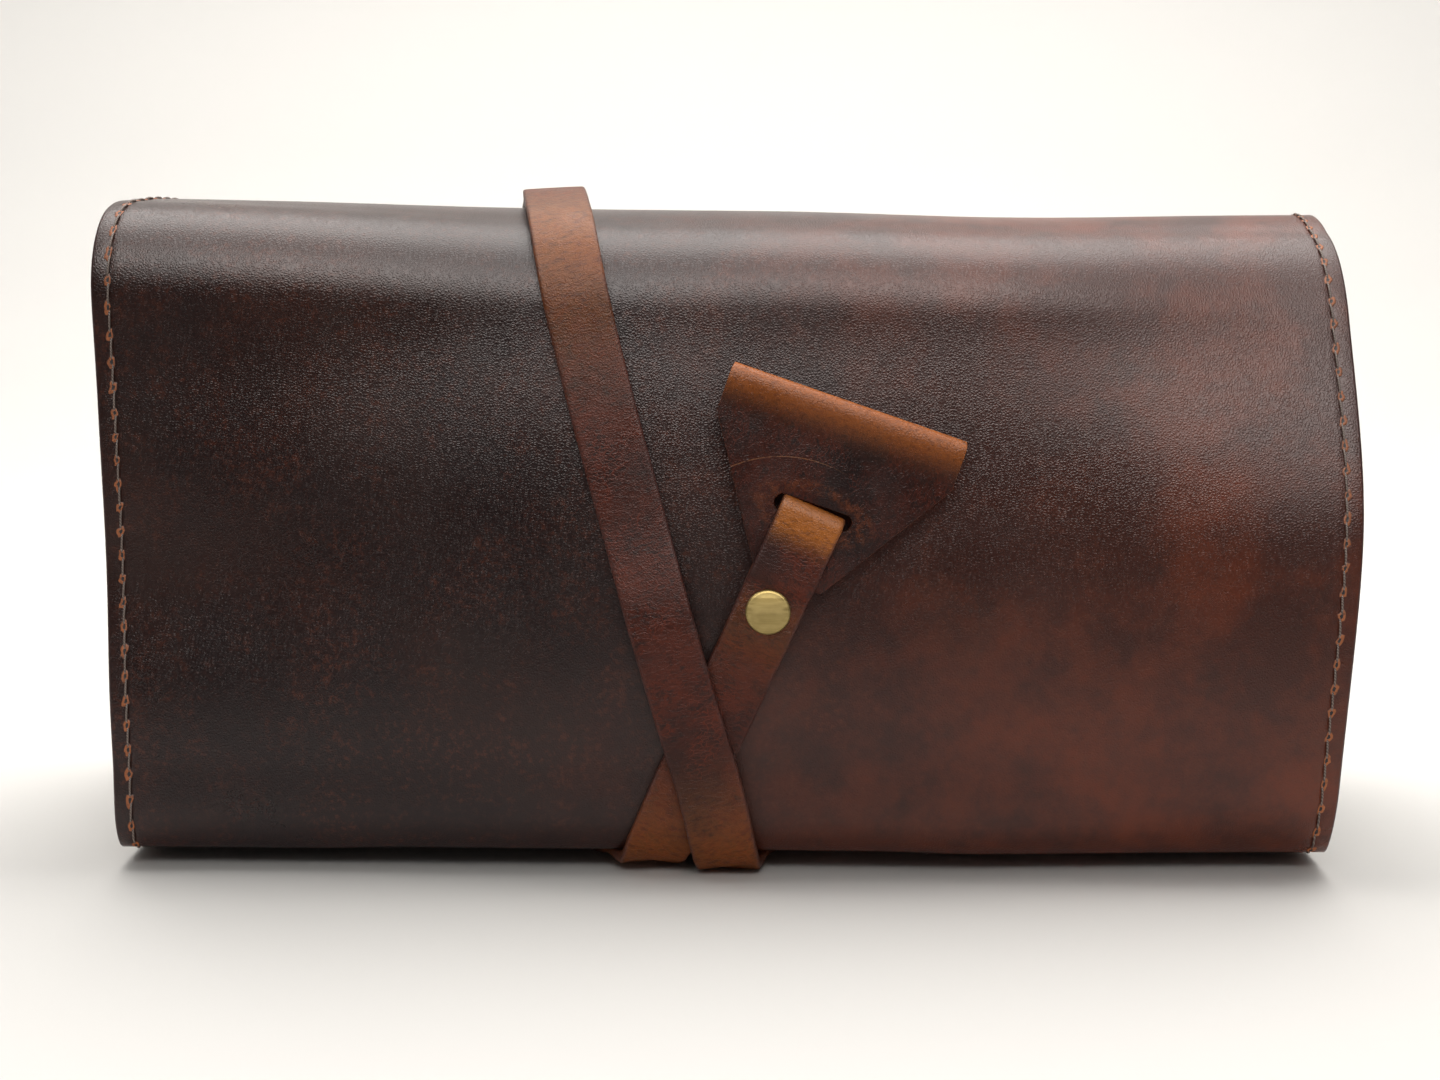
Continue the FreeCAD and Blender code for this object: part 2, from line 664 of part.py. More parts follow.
def build(doc):
    make_sheet(doc)
    doc.recompute()
    inner_start = DIM["lining_setback"]
    parts = [
        outer_cover(doc),
        layer(doc, "inner_lining", LINING_DEPTH, DIM["lining_thickness"], inner_start, SPIRAL_LENGTH),
        layer(doc, "pocket_panel", POCKET_DEPTH, DIM["pocket_thickness"], inner_start, SPIRAL_LENGTH,
              "Dims.roll_width / 2 + Dims.pocket_edge", "(Dims.pocket_edge - Dims.roll_width / 2) / 2"),
        layer(doc, "brush_flap", POCKET_DEPTH, DIM["pocket_thickness"], inner_start, SPIRAL_LENGTH,
              "Dims.roll_width / 2 - Dims.flap_edge", "(Dims.flap_edge + Dims.roll_width / 2) / 2"),
        seam_thread(doc, "left_seam_thread", -1),
        seam_thread(doc, "right_seam_thread", 1),
        pocket_divider_threads(doc),
        strap_wrap(doc),
        strap_tail(doc),
        strap_loop(doc),
        toggle_tab(doc),
    ]
    parts += toggle_rivet(doc)
    parts += anchor_rivets(doc)
    doc.recompute()
    return parts


def check(doc, parts):
    """Stops if any feature failed or any part isn't a valid solid."""
    for item in doc.Objects:
        if "Invalid" in item.State or "Error" in item.State:
            raise RuntimeError(f"{item.Name} failed: {item.State}")
    for item in parts:
        if item.Shape.isNull() or not item.Shape.isValid() or not item.Shape.Solids:
            raise RuntimeError(f"{item.Label} is not a valid solid")


def export(parts):
    os.makedirs("parts", exist_ok=True)
    for item in parts:
        item.Shape.exportStep(os.path.join("parts", item.Label + ".step"))
        box = item.Shape.BoundBox
        print(f"{item.Label}: {len(item.Shape.Solids)} solids, {item.Shape.Volume:.1f} mm3, "
              f"x {box.XMin:.2f}..{box.XMax:.2f} y {box.YMin:.2f}..{box.YMax:.2f} "
              f"z {box.ZMin:.2f}..{box.ZMax:.2f}")


def main():
    doc = FreeCAD.newDocument("brush_roll")
    parts = build(doc)
    check(doc, parts)
    export(parts)


main()
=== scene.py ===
"""A rolled leather brush case, closed by a wound strap with a riveted loop and a toggle.

Shapes are worked out in millimetres and turned into metres when a mesh is made. The
roll lies along X, its toggle is on the front at -Y, and +Z is up.
"""
import math

import bpy
from mathutils import Matrix, Vector, noise


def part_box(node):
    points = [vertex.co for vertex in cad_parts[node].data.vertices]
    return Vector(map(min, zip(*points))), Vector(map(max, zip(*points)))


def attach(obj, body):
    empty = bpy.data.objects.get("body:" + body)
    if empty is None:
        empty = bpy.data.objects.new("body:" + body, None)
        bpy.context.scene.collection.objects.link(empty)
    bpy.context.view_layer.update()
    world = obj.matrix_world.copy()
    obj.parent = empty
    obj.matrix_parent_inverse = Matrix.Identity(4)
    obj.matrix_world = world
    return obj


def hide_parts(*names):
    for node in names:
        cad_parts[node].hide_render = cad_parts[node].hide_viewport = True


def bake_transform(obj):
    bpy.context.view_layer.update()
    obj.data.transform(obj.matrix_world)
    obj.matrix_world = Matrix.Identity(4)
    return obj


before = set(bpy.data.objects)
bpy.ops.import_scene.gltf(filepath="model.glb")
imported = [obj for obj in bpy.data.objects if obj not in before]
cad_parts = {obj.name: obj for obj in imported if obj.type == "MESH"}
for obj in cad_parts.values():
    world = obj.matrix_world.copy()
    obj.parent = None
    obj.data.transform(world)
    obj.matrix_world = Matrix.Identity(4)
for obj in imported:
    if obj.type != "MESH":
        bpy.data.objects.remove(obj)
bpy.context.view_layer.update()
MM = 0.001


# --- driving sizes, in millimetres and degrees ---

COVER_LOW, COVER_HIGH = [[value / MM for value in corner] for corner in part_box("outer_cover")]
ROLL_HALF = (COVER_HIGH[0] - COVER_LOW[0]) / 2
ROLL_Y = (COVER_HIGH[1] + COVER_LOW[1]) / 2
BASE_HEIGHT = COVER_LOW[2]
FLAT_HALF = 27.3
CORNER_RADIUS, CORNER_TURN = 22.0, 86.0
WALL_RADIUS, WALL_TURN = 316.0, 19.0
SHOULDER_RADIUS, SHOULDER_TURN = 27.0, 47.0
DOME_TURN = 180.0 - CORNER_TURN - WALL_TURN - SHOULDER_TURN
PITCH = 5.4
OUTER_END_CLIMB = 13.0
INNER_END_DROP = 40.0

COVER_THICKNESS = 2.0
LINING_DEPTH, LINING_THICKNESS = 2.2, 0.8
POCKET_DEPTH, POCKET_THICKNESS = 3.2, 1.0
INSIDE_DEPTH = POCKET_DEPTH + POCKET_THICKNESS
LINING_SETBACK = 55.0
POCKET_EDGE = 10.0
FLAP_EDGE = 25.0

SEAM_INSET = 4.0
STITCH_PITCH = 5.4
GROOVE_DEPTH = 0.14
THREAD_RADIUS = 0.24
SEAM_MARGIN = 8.0
DIVIDER_ROWS, DIVIDER_STITCHES, DIVIDER_MARGIN = 20, 26, 14.0

STRAP_WIDTH = 14.7
STRAP_THICKNESS = 2.1
STRAP_GAP = 0.35
END_ROUNDING = 4.0
CROSSING_LIFT = 2.7
BRIDGE_LIFT, BRIDGE_TWIST = 2.5, -4.0
TOGGLE_X = 9.2
TOGGLE_CLIMB = 39.0
LEAN = math.radians(23.6)
FOLD_THICKNESS = 2.0
RETURN_LOW = 0.8
RETURN_TOP = RETURN_LOW + FOLD_THICKNESS
RIVET_TOP = RETURN_TOP + FOLD_THICKNESS
LOOP_LOW = RETURN_TOP + 2.2
LOOP_CENTRE = 22.4

TAB_THICKNESS = 1.6
TAB_LOW = RETURN_TOP + 0.3
TAB_YAW = 5.0
TAB_FOLD_HALF = 27.2
TAB_SIDE = 11.2
TAB_LENGTH = 42.2
TAB_TIP_HALF = 7.55
SLOT_NEAR, SLOT_FAR = 22.2, 26.45
SLOT_HALF = 8.9
SLOT_TIGHT = 0.5
SLOT_TO_FOLD = 23.2
SLOT_TO_TOP = (SLOT_FAR - SLOT_NEAR) / 2 + SLOT_TO_FOLD
SKIVE_LENGTH, SKIVE_EDGE, SKIVE_SLOPE = 2.4, 0.35, 0.545
TAB_BEVEL = 0.42


# --- the end view: chains of tangent lines and left-hand arcs ---

def span_point(span, distance):
    """(y, z, heading) at a distance along one line (radius 0) or arc."""
    y, z, heading, radius, _ = span
    if not radius:
        return y + distance * math.cos(heading), z + distance * math.sin(heading), heading
    end = heading + distance / radius
    return (y + radius * (math.sin(end) - math.sin(heading)),
            z + radius * (math.cos(heading) - math.cos(end)), end)


def chain(pieces):
    """Spans joined end to end from the middle of the flat, as (0, length) or (radius, degrees)."""
    spans, place = [], (ROLL_Y, BASE_HEIGHT, 0.0)
    for radius, size in pieces:
        length = radius * math.radians(size) if radius else size
        spans.append((*place, radius, length))
        place = span_point(spans[-1], length)
    return spans


def chain_length(spans):
    return sum(span[4] for span in spans)


def chain_at(spans, distance):
    for span in spans[:-1]:
        if distance <= span[4]:
            return span_point(span, distance)
        distance -= span[4]
    return span_point(spans[-1], distance)


BENDS = [(CORNER_RADIUS, CORNER_TURN), (WALL_RADIUS, WALL_TURN), (SHOULDER_RADIUS, SHOULDER_TURN)]


def dome_radius():
    """The radius of the top that closes the outline on its middle plane."""
    reach, heading = FLAT_HALF, 0.0
    for radius, turn in BENDS:
        end = heading + math.radians(turn)
        reach += radius * (math.sin(end) - math.sin(heading))
        heading = end
    return reach / math.sin(heading)


HALF_OUTLINE = [(0, FLAT_HALF), *BENDS, (dome_radius(), DOME_TURN)]
OUTLINE = chain(HALF_OUTLINE + HALF_OUTLINE[::-1])
PERIMETER = chain_length(OUTLINE)
TURN = math.radians(CORNER_TURN)
EASE = PITCH * math.cos(TURN) / (1 - math.cos(TURN))
INNER_TURN = chain([
    (0, FLAT_HALF - (PITCH + EASE) * math.sin(TURN)), (CORNER_RADIUS + EASE, CORNER_TURN),
    (WALL_RADIUS - PITCH, WALL_TURN), (SHOULDER_RADIUS - PITCH, SHOULDER_TURN),
    (dome_radius() - PITCH, DOME_TURN), (dome_radius() - PITCH, DOME_TURN),
    (SHOULDER_RADIUS - PITCH, SHOULDER_TURN),
    (WALL_RADIUS - PITCH, math.degrees(INNER_END_DROP / (WALL_RADIUS - PITCH)))])
CORNER_TOP = FLAT_HALF + CORNER_RADIUS * TURN
OUTER_END = CORNER_TOP + OUTER_END_CLIMB
FIRST_TURN = PERIMETER - OUTER_END
SPIRAL_LENGTH = FIRST_TURN + chain_length(INNER_TURN)


def spiral_at(distance):
    """(y, z, heading) on the cover's outer surface, from its outer end."""
    if distance <= FIRST_TURN:
        return chain_at(OUTLINE, OUTER_END + distance)
    return chain_at(INNER_TURN, distance - FIRST_TURN)


def smooth(value, low, high):
    """0 below low, 1 above high, and smooth between them."""
    value = min(max((value - low) / (high - low), 0.0), 1.0)
    return value * value * (3 - 2 * value)


def bump(value, centre, width):
    return math.exp(-((value - centre) / width) ** 2)


# --- how the leather settles: one gentle displacement that every layer follows ---

def settle(x, y, z):
    """The place in millimetres that a point of the ideal roll has in the real, soft one."""
    side = math.tanh((y - ROLL_Y) / 18.0)
    reach = abs(y - ROLL_Y)
    left, right = smooth(-x, 25, 140), smooth(x, 50, 140)
    strap = smooth(x, -100, -72) * (1 - smooth(x, 32, 60))
    boxy = (2.2 + 5.6 * left) * (1 - right)
    shift_y = boxy * bump(z, 139, 13 + 7 * left)
    shift_y += 4.5 * (1 - 0.9 * right) * bump(z, 9, 9)
    shift_y -= 5.0 * left * bump(z, 67, 28)
    shift_y -= 9.0 * right * smooth(z, 76, 138)
    sag = 1.8 * left - 1.2 * bump(x, 70, 45)
    shift_z = (sag + (1.5 + 2.4 * left) * (1 - right) * bump(reach, 29, 15)) * smooth(z, 100, 146)
    shift_z -= 0.20 * bump(z, 146.0 + 2.0 * left, 1.1) * smooth(-side, 0.0, 0.7)
    shift_z += (0.2 * strap - 1.0 * (1 - strap)) * (1 - smooth(z, 6, 60))
    shift_z -= (2.9 + 0.8 * strap) * bump(reach, 42, 8) * smooth(z, 3.5, 9) * (1 - smooth(z, 6, 26))
    shift_x = -x / ROLL_HALF * 1.2 * (1 - smooth(z, 8, 75)) - 0.8 * left * bump(z, 122, 24)
    shift_x += 1.5 * right * bump(z, 92, 38)
    calm = 1 - bump(x, 22, 30) * smooth(z, 38, 50) * (1 - smooth(z, 116, 130)) * smooth(-side, -0.2, 0.6)
    wave = noise.noise(Vector((x, y * 1.3, z)) * 0.021) * 0.6 * calm
    return x + shift_x, y + side * (shift_y + wave), z + shift_z + wave * 0.4 * smooth(z, 2, 20)


def roll_point(distance, depth, x, at=spiral_at):
    """A settled point of the roll, at a depth below the cover's outer surface."""
    y, z, heading = at(distance)
    return settle(x, y - depth * math.sin(heading), z + depth * math.cos(heading))


# --- mesh building ---

def new_object(name, vertices, faces, material, smooth_angle=40):
    mesh = bpy.data.meshes.new(name)
    mesh.from_pydata([tuple(value * MM for value in vertex) for vertex in vertices], [], faces)
    mesh.validate()
    mesh.update()
    obj = bpy.data.objects.new(name, mesh)
    bpy.context.collection.objects.link(obj)
    mesh.materials.append(material)
    for face in mesh.polygons:
        face.use_smooth = True
    mesh.set_sharp_from_angle(angle=math.radians(smooth_angle))
    return obj


def set_attribute(obj, name, values):
    """A number at each point, for the material to read."""
    attribute = obj.data.attributes.new(name, "FLOAT", "POINT")
    attribute.data.foreach_set("value", values)


def ring_faces(rings, ring_size, capped=True):
    """Quads between successive rings, and a flat cap at each end."""
    faces = []
    for ring in range(rings - 1):
        for step in range(ring_size):
            a, b = ring * ring_size + step, ring * ring_size + (step + 1) % ring_size
            faces.append((a, a + ring_size, b + ring_size, b))
    if capped:
        faces.append(tuple(range(ring_size)))
        faces.append(tuple(reversed(range((rings - 1) * ring_size, rings * ring_size))))
    return faces


class Batch:
    """Many small closed tubes and discs that become one object."""

    def __init__(self):
        self.vertices, self.faces, self.shade = [], [], []

    def rings(self, rings, shade=None):
        start, size = len(self.vertices), len(rings[0])
        for number, ring in enumerate(rings):
            self.vertices += ring
            self.shade += [shade[number] if shade else 0.0] * size
        self.faces += [tuple(start + index for index in face) for face in ring_faces(len(rings), size)]

    def make(self, name, material):
        obj = new_object(name, self.vertices, self.faces, material, 60)
        set_attribute(obj, "shade", self.shade)
        return obj


def tube_rings(points, radii, sides=8):
    """Rings round a short line of points."""
    rings = []
    for number, (point, radius) in enumerate(zip(points, radii)):
        ahead = points[min(number + 1, len(points) - 1)] - points[max(number - 1, 0)]
        across = ahead.cross(Vector((0.31, 0.22, 0.93))).normalized()
        up = ahead.cross(across).normalized()
        rings.append([tuple(point + (across * math.cos(a) + up * math.sin(a)) * radius)
                      for a in (math.tau * step / sides for step in range(sides))])
    return rings


# --- the rolled sheets ---

def sheet_profile(low, high, thickness, grooves=(), step=5.0):
    """(x, depth, edge) round a sheet's section: outer face, right edge, inner face, left edge."""
    rounding = min(0.65, thickness / 2.2)
    count = max(2, round((high - low - 2 * rounding) / step))
    flat = [low + rounding + (high - low - 2 * rounding) * k / count for k in range(count + 1)]
    outer = [(x, 0.0, 0.0) for x in flat if all(abs(x - groove) > 1.6 for groove in grooves)]
    for groove in grooves:
        outer += [(groove + side * 1.5, 0.0, 0.0) for side in (-1, 1)]
        outer += [(groove + side * 0.8, GROOVE_DEPTH * 0.3, 0.0) for side in (-1, 1)]
        outer += [(groove + side * 0.42, GROOVE_DEPTH * 0.8, 0.0) for side in (-1, 1)]
        outer.append((groove, GROOVE_DEPTH, 0.0))
    outer.sort()
    inner = [(x, thickness, 0.0) for x in reversed(flat)]
    angles = [math.radians(a) for a in (25, 50, 75)]

    def edge(side, x, start, end):
        inset = x - side * rounding
        down = math.copysign(rounding, end - start)
        corner = [(inset + side * rounding * math.sin(a), down * (1 - math.cos(a)), 0.5 + 0.5 * math.sin(a))
                  for a in angles]
        return ([(across, start + level, worn) for across, level, worn in corner]
                + [(across, end - level, worn) for across, level, worn in reversed(corner)])

    return outer + edge(1, high, 0.0, thickness) + inner + edge(-1, low, thickness, 0.0)


def rolled_sheet(name, material, depth, thickness, start, end, low, high, grooves=(), step=1.6):
    """A sheet of the roll as one closed mesh, with rounded edges."""
    profile = sheet_profile(low, high, thickness, grooves)
    count = round((end - start) / step)
    stations = [start + (end - start) * k / count for k in range(count + 1)]
    nose = min(0.6, thickness / 3)
    stations = ([start, start + nose * 0.3, start + nose] + stations[1:-1]
                + [end - nose, end - nose * 0.3, end])
    pinch = [0.45, 0.8, 1.0] + [1.0] * (len(stations) - 6) + [1.0, 0.8, 0.45]
    vertices, edges = [], []
    for distance, squeeze in zip(stations, pinch):
        for x, down, edge in profile:
            level = depth + thickness / 2 + (down - thickness / 2) * squeeze
            vertices.append(roll_point(distance, level, x))
            edges.append(max(edge, 1.0 if squeeze < 1 else 0.0))
    obj = new_object(name, vertices, ring_faces(len(stations), len(profile)), material, 50)
    set_attribute(obj, "edge", edges)
    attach(obj, "case")
    return obj


def make_cover(material):
    seams = [-ROLL_HALF + SEAM_INSET, ROLL_HALF - SEAM_INSET]
    cover = rolled_sheet("cover", material, 0.0, COVER_THICKNESS, 0.0, SPIRAL_LENGTH,
                         -ROLL_HALF, ROLL_HALF, seams)
    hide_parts("outer_cover")


def make_inside(lining_leather, pocket_leather):
    sheets = (
        ("lining", "inner_lining", "lining", lining_leather, LINING_DEPTH, LINING_THICKNESS,
         -ROLL_HALF, ROLL_HALF),
        ("pockets", "pocket_panel", "pocket_leather", pocket_leather, POCKET_DEPTH, POCKET_THICKNESS,
         -ROLL_HALF, POCKET_EDGE),
        ("tip_flap", "brush_flap", "pocket_leather", pocket_leather, POCKET_DEPTH, POCKET_THICKNESS,
         FLAP_EDGE, ROLL_HALF),
    )
    for name, node, slot, material, depth, thickness, low, high in sheets:
        sheet = rolled_sheet(name, material, depth, thickness, LINING_SETBACK, SPIRAL_LENGTH - 1.0,
                             low + 0.3, high - 0.3, step=4.0)
        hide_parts(node)


# --- stitching ---

def stitch(batch, here, sides=8):
    """One stitch. here(share, height) gives a place from one hole to the next."""
    shares = (0.06, 0.12, 0.24, 0.5, 0.76, 0.88, 0.94)
    heights = (-0.42, -0.12, 0.16, 0.26, 0.16, -0.12, -0.42)
    radii = (0.7, 0.95, 1.0, 1.04, 1.0, 0.95, 0.7)
    points = [Vector(here(share, height)) for share, height in zip(shares, heights)]
    batch.rings(tube_rings(points, [THREAD_RADIUS * radius for radius in radii], sides))


def seam(side, thread, leather):
    """The saddle stitches by one end of the roll, and the rims of their holes."""
    x = side * (ROLL_HALF - SEAM_INSET)
    count = int((SPIRAL_LENGTH - 2 * SEAM_MARGIN) / STITCH_PITCH)
    stitches, holes = Batch(), Batch()
    for number in range(count):
        start = SEAM_MARGIN + number * STITCH_PITCH
        slant = 0.16 * side + 0.16 * noise.noise(Vector((start * 0.9, 4.1, x)))

        def above(share, height):
            return roll_point(start + share * STITCH_PITCH, -height - 0.02, x + slant * (2 * share - 1))

        def below(share, height):
            return roll_point(start + share * STITCH_PITCH, INSIDE_DEPTH + height * 0.8 + 0.12,
                              x - slant * (2 * share - 1))

        stitch(stitches, above)
        if start > LINING_SETBACK + 2:
            stitch(stitches, below, 6)
        hole(holes, start, x, 1.0 + 0.16 * noise.noise(Vector((start * 1.7, x, 0))))
    name = "left" if side < 0 else "right"
    row = stitches.make(f"{name}_stitches", thread)
    rims = holes.make(f"{name}_stitch_holes", leather)
    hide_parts(f"{name}_seam_thread")
    for piece, slot in ((row, "thread"), (rims, "cover_leather")):
        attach(piece, "case")


def hole(batch, distance, x, size):
    """A slanted awl hole: a slit of painted shade in a ragged patch of raw leather."""
    # The inner rings, with shade near 0, are the painted shade inside the hole.
    profile = ((1.05, 0.05, 0.30), (0.88, -0.06, 0.8), (0.64, -0.11, 1.0), (0.44, -0.11, 0.9),
               (0.36, -0.09, 0.05), (0.14, -0.07, 0.0))
    rings, shades = [], []
    for radius, depth, shade in profile:
        ring = []
        for step in range(14):
            angle = math.tau * step / 14
            place = Vector((math.cos(angle) * 1.3, math.sin(angle) * 1.3, distance * 0.9 + x))
            ragged = 1 + 0.6 * noise.noise(place)
            across = 0.85 * size * ragged * radius * math.cos(angle) + 0.22 * radius * (1 if x > 0 else -1)
            along = 1.35 * size * ragged * radius * math.sin(angle)
            ring.append(roll_point(distance + along - 0.35 * across, depth, x + across))
        rings.append(ring)
        shades.append(shade)
    batch.rings(rings, shades)


def make_dividers(thread):
    """The stitch rows that divide the pockets."""
    rows = Batch()
    first, last = LINING_SETBACK + DIVIDER_MARGIN, SPIRAL_LENGTH - DIVIDER_MARGIN
    level = INSIDE_DEPTH + 0.1
    for row in range(DIVIDER_ROWS):
        distance = first + (last - first) * row / (DIVIDER_ROWS - 1)
        for number in range(DIVIDER_STITCHES):
            x = -ROLL_HALF + SEAM_INSET + 2.0 + number * STITCH_PITCH

            def here(share, height):
                return roll_point(distance, level + height * 0.8, x + share * STITCH_PITCH)

            stitch(rows, here, 6)
    dividers = rows.make("pocket_stitches", thread)
    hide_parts("pocket_divider_threads")
    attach(dividers, "case")


# --- the strap ---

def toggle_frame():
    """The toggle's frame as a matrix: X across the strap, Y along it, Z out of the roll."""
    y, z, heading = chain_at(OUTLINE, PERIMETER - CORNER_TOP - TOGGLE_CLIMB)
    outwards = Vector((0, math.sin(heading), -math.cos(heading)))
    climb = Vector((0, -math.cos(heading), -math.sin(heading)))
    along = climb * math.cos(LEAN) + Vector((1, 0, 0)) * math.sin(LEAN)
    across = along.cross(outwards)
    matrix = Matrix((across, along, outwards)).transposed().to_4x4()
    matrix.translation = Vector((TOGGLE_X, y, z))
    return matrix


TOGGLE = toggle_frame()
TAIL_JOIN = 11.8
TOGGLE_DISTANCE = PERIMETER + CORNER_TOP + TOGGLE_CLIMB
FRONT_FOOT = 45.0
STRAP_START = -(OUTER_END + 42.0)

# Distance from the middle of the flat, forwards under the roll and up its front; x; slope
STRAP_ROUTE = [
    (STRAP_START, 24.0, -0.05),
    (FRONT_FOOT, 0.6, -0.30),
    (120.0, -21.2, -0.28),
    (PERIMETER / 2, -42.2, -0.10),
    (PERIMETER / 2 + 106.0, -60.0, 0.0),
    (PERIMETER + FRONT_FOOT, -16.0, 0.53),
    (TOGGLE_DISTANCE - TAIL_JOIN * math.cos(LEAN), TOGGLE_X - TAIL_JOIN * math.sin(LEAN), math.tan(LEAN)),
]


def route_x(distance):
    """The strap's x: cubic Hermite pieces between the route's points."""
    for first, last in zip(STRAP_ROUTE, STRAP_ROUTE[1:]):
        if distance <= last[0]:
            break
    span = last[0] - first[0]
    u = (distance - first[0]) / span
    return ((2 * u ** 3 - 3 * u ** 2 + 1) * first[1] + (u ** 3 - 2 * u ** 2 + u) * span * first[2]
            + (3 * u ** 2 - 2 * u ** 3) * last[1] + (u ** 3 - u ** 2) * span * last[2])


# Where the leather's marks start on the tail and the loop, in millimetres along the strap
TAIL_RUN, LOOP_RUN = 2000.0, 2100.0


def strap_lift(distance):
    """How far the first pass stands out where it crosses over the second."""
    rise = smooth(distance, FLAT_HALF + 5.0, FLAT_HALF + 23.0)
    fall = 1 - smooth(distance, CORNER_TOP + 34.0, CORNER_TOP + 60.0)
    return CROSSING_LIFT * rise * fall


def strap_profile(half, low, high):
    """(across, height, edge) round the strap's section: a slightly crowned face with worn edges."""
    r = 0.55
    top = [(-half + r, high, 0.35), (-half * 0.86, high + 0.04, 0.0), (-half * 0.55, high + 0.07, 0.0),
           (0.0, high + 0.08, 0.0), (half * 0.55, high + 0.07, 0.0), (half * 0.86, high + 0.04, 0.0),
           (half - r, high, 0.35)]
    right = [(half - 0.3 * r, high - 0.25 * r, 0.9), (half, high - 0.9 * r, 1.0),
             (half, (low + high) / 2, 1.0), (half, low + 0.8 * r, 1.0), (half - 0.4 * r, low + 0.1 * r, 0.8)]
    bottom = [(half * 0.5, low, 0.0), (0.0, low, 0.0), (-half * 0.5, low, 0.0)]
    left = [(-x, height, edge) for x, height, edge in reversed(right)]
    return top + right + bottom + left


def strap_object(name, material, frames, bend_and_highlight_at, first_run=0.0):
    """A strap through frames of (centre, across, outwards, half width, low, high)."""
    vertices, edges, bends, runs = [], [], [], []
    run, last = first_run, frames[0][0]
    for number, (centre, across, outwards, half, low, high) in enumerate(frames):
        run += (centre - last).length
        last = centre
        for side, height, edge in strap_profile(half, low, high):
            vertices.append(tuple(centre + across * side + outwards * height))
            edges.append(edge)
            bends.append(bend_and_highlight_at(number))
            runs.append((side, run, height))
    size = len(strap_profile(1, 0, 1))
    obj = new_object(name, vertices, ring_faces(len(frames), size), material, 70)
    set_attribute(obj, "edge", edges)
    # Pull-up lightening at bends, and on the loop's round end a painted highlight.
    set_attribute(obj, "bend_and_highlight", bends)
    places = obj.data.attributes.new("run", "FLOAT_VECTOR", "POINT")
    places.data.foreach_set("vector", [value for place in runs for value in place])
    return obj


def wound_frame(distance, half=STRAP_WIDTH / 2):
    """The strap's frame on the settled roll."""
    def place(d, aside=0.0):
        y, z, _ = chain_at(OUTLINE, -d % PERIMETER)
        return Vector(settle(route_x(d) + aside, y, z))

    centre = place(distance)
    along = place(distance + 0.5) - place(distance - 0.5)
    outwards = (place(distance, 1.0) - place(distance, -1.0)).cross(along).normalized()
    across = along.cross(outwards).normalized()
    bridge = bump(distance, PERIMETER / 2 - 6, 24)
    low = STRAP_GAP - 0.2 + strap_lift(distance) + BRIDGE_LIFT * bridge
    twist = Matrix.Rotation(math.radians(BRIDGE_TWIST * bridge), 3, along)
    return centre, twist @ across, twist @ outwards, half, low, low + STRAP_THICKNESS + 0.15


SPLIT = TOGGLE_DISTANCE - 30.0 * math.cos(LEAN)


def wound_distances(start, end, step):
    count = round((end - start) / step)
    return [start + (end - start) * k / count for k in range(count + 1)]


def make_wound_strap(leather):
    """From the rivets on the cover's outer end to below the first pass's crossing."""
    distances = wound_distances(STRAP_START, SPLIT, 2.0)
    frames = []
    for distance in distances:
        from_end = distance - STRAP_START
        half = STRAP_WIDTH / 2
        if from_end < END_ROUNDING:
            short = END_ROUNDING - from_end
            half -= END_ROUNDING - math.sqrt(max(END_ROUNDING ** 2 - short ** 2, 0.01))
        frames.append(wound_frame(distance, half))
    bends = [bend_amount(distance) for distance in distances]
    strap = strap_object("strap_wound", leather, frames, lambda number: bends[number])
    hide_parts("strap_wrap")
    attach(strap, "case")


def bend_amount(distance):
    """How hard the leather is bent, which pulls its colour lighter: round corners and shoulders."""
    place = distance % PERIMETER
    corners = (FLAT_HALF + 16.0, PERIMETER - FLAT_HALF - 16.0)
    shoulders = (PERIMETER / 2 - 34.0, PERIMETER / 2 + 34.0)
    return (0.35 * max(bump(place, corner, 14) for corner in corners)
            + 0.5 * max(bump(place, shoulder, 22) for shoulder in shoulders))


def toggle_frames(profile, half=STRAP_WIDTH / 2):
    """Frames in the toggle's own plane through (along, height) of the leather's middle."""
    rotation = TOGGLE.to_3x3()
    across = rotation @ Vector((1, 0, 0))
    frames = []
    for number, (along, height) in enumerate(profile):
        before, after = profile[max(number - 1, 0)], profile[min(number + 1, len(profile) - 1)]
        ahead = Vector((0, after[0] - before[0], after[1] - before[1])).normalized()
        outwards = rotation @ Vector((0, -ahead.z, ahead.y))
        centre = TOGGLE @ Vector((0, along, height))
        frames.append((centre, across, outwards, half, -FOLD_THICKNESS / 2, FOLD_THICKNESS / 2))
    return frames


def make_tail(leather):
    """From under the first pass, up over the folded end, to the rivet."""
    distances = wound_distances(SPLIT, TOGGLE_DISTANCE - 15.5 * math.cos(LEAN), 2.0)
    frames = [wound_frame(distance) for distance in distances]
    middle = RETURN_TOP + FOLD_THICKNESS / 2
    profile = []
    for step in range(17):
        along = -12.6 + 12.6 * step / 16
        rise = smooth(along, -12.8, -4.6)
        profile.append((along, 1.18 + (middle - 1.18) * rise))
    frames += toggle_frames(profile)
    count = len(distances)
    strap = strap_object("strap_end", leather, frames,
                         lambda number: 0.15 * smooth(number, count - 6, count + 8), TAIL_RUN)
    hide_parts("strap_tail")
    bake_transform(strap)


def loop_profile():
    """The middle line of the loop: out over the toggle, round, and back under the rivet."""
    middle, high = RETURN_TOP + FOLD_THICKNESS / 2, LOOP_LOW + FOLD_THICKNESS / 2
    low = RETURN_LOW + FOLD_THICKNESS / 2
    points = []
    for step in range(9):
        along = 1.25 * step
        points.append((along, middle + (high - middle) * smooth(along, 4.4, 8.6)))
    points += [(11.5 + 2.2 * step, high) for step in range(5)]
    radius = (high - low) / 2
    for step in range(11):
        angle = math.pi / 2 - math.pi * step / 10
        points.append((LOOP_CENTRE + radius * math.cos(angle), (high + low) / 2 + radius * math.sin(angle)))
    points += [(20.2 - 2.2 * step, low) for step in range(13)]
    return points


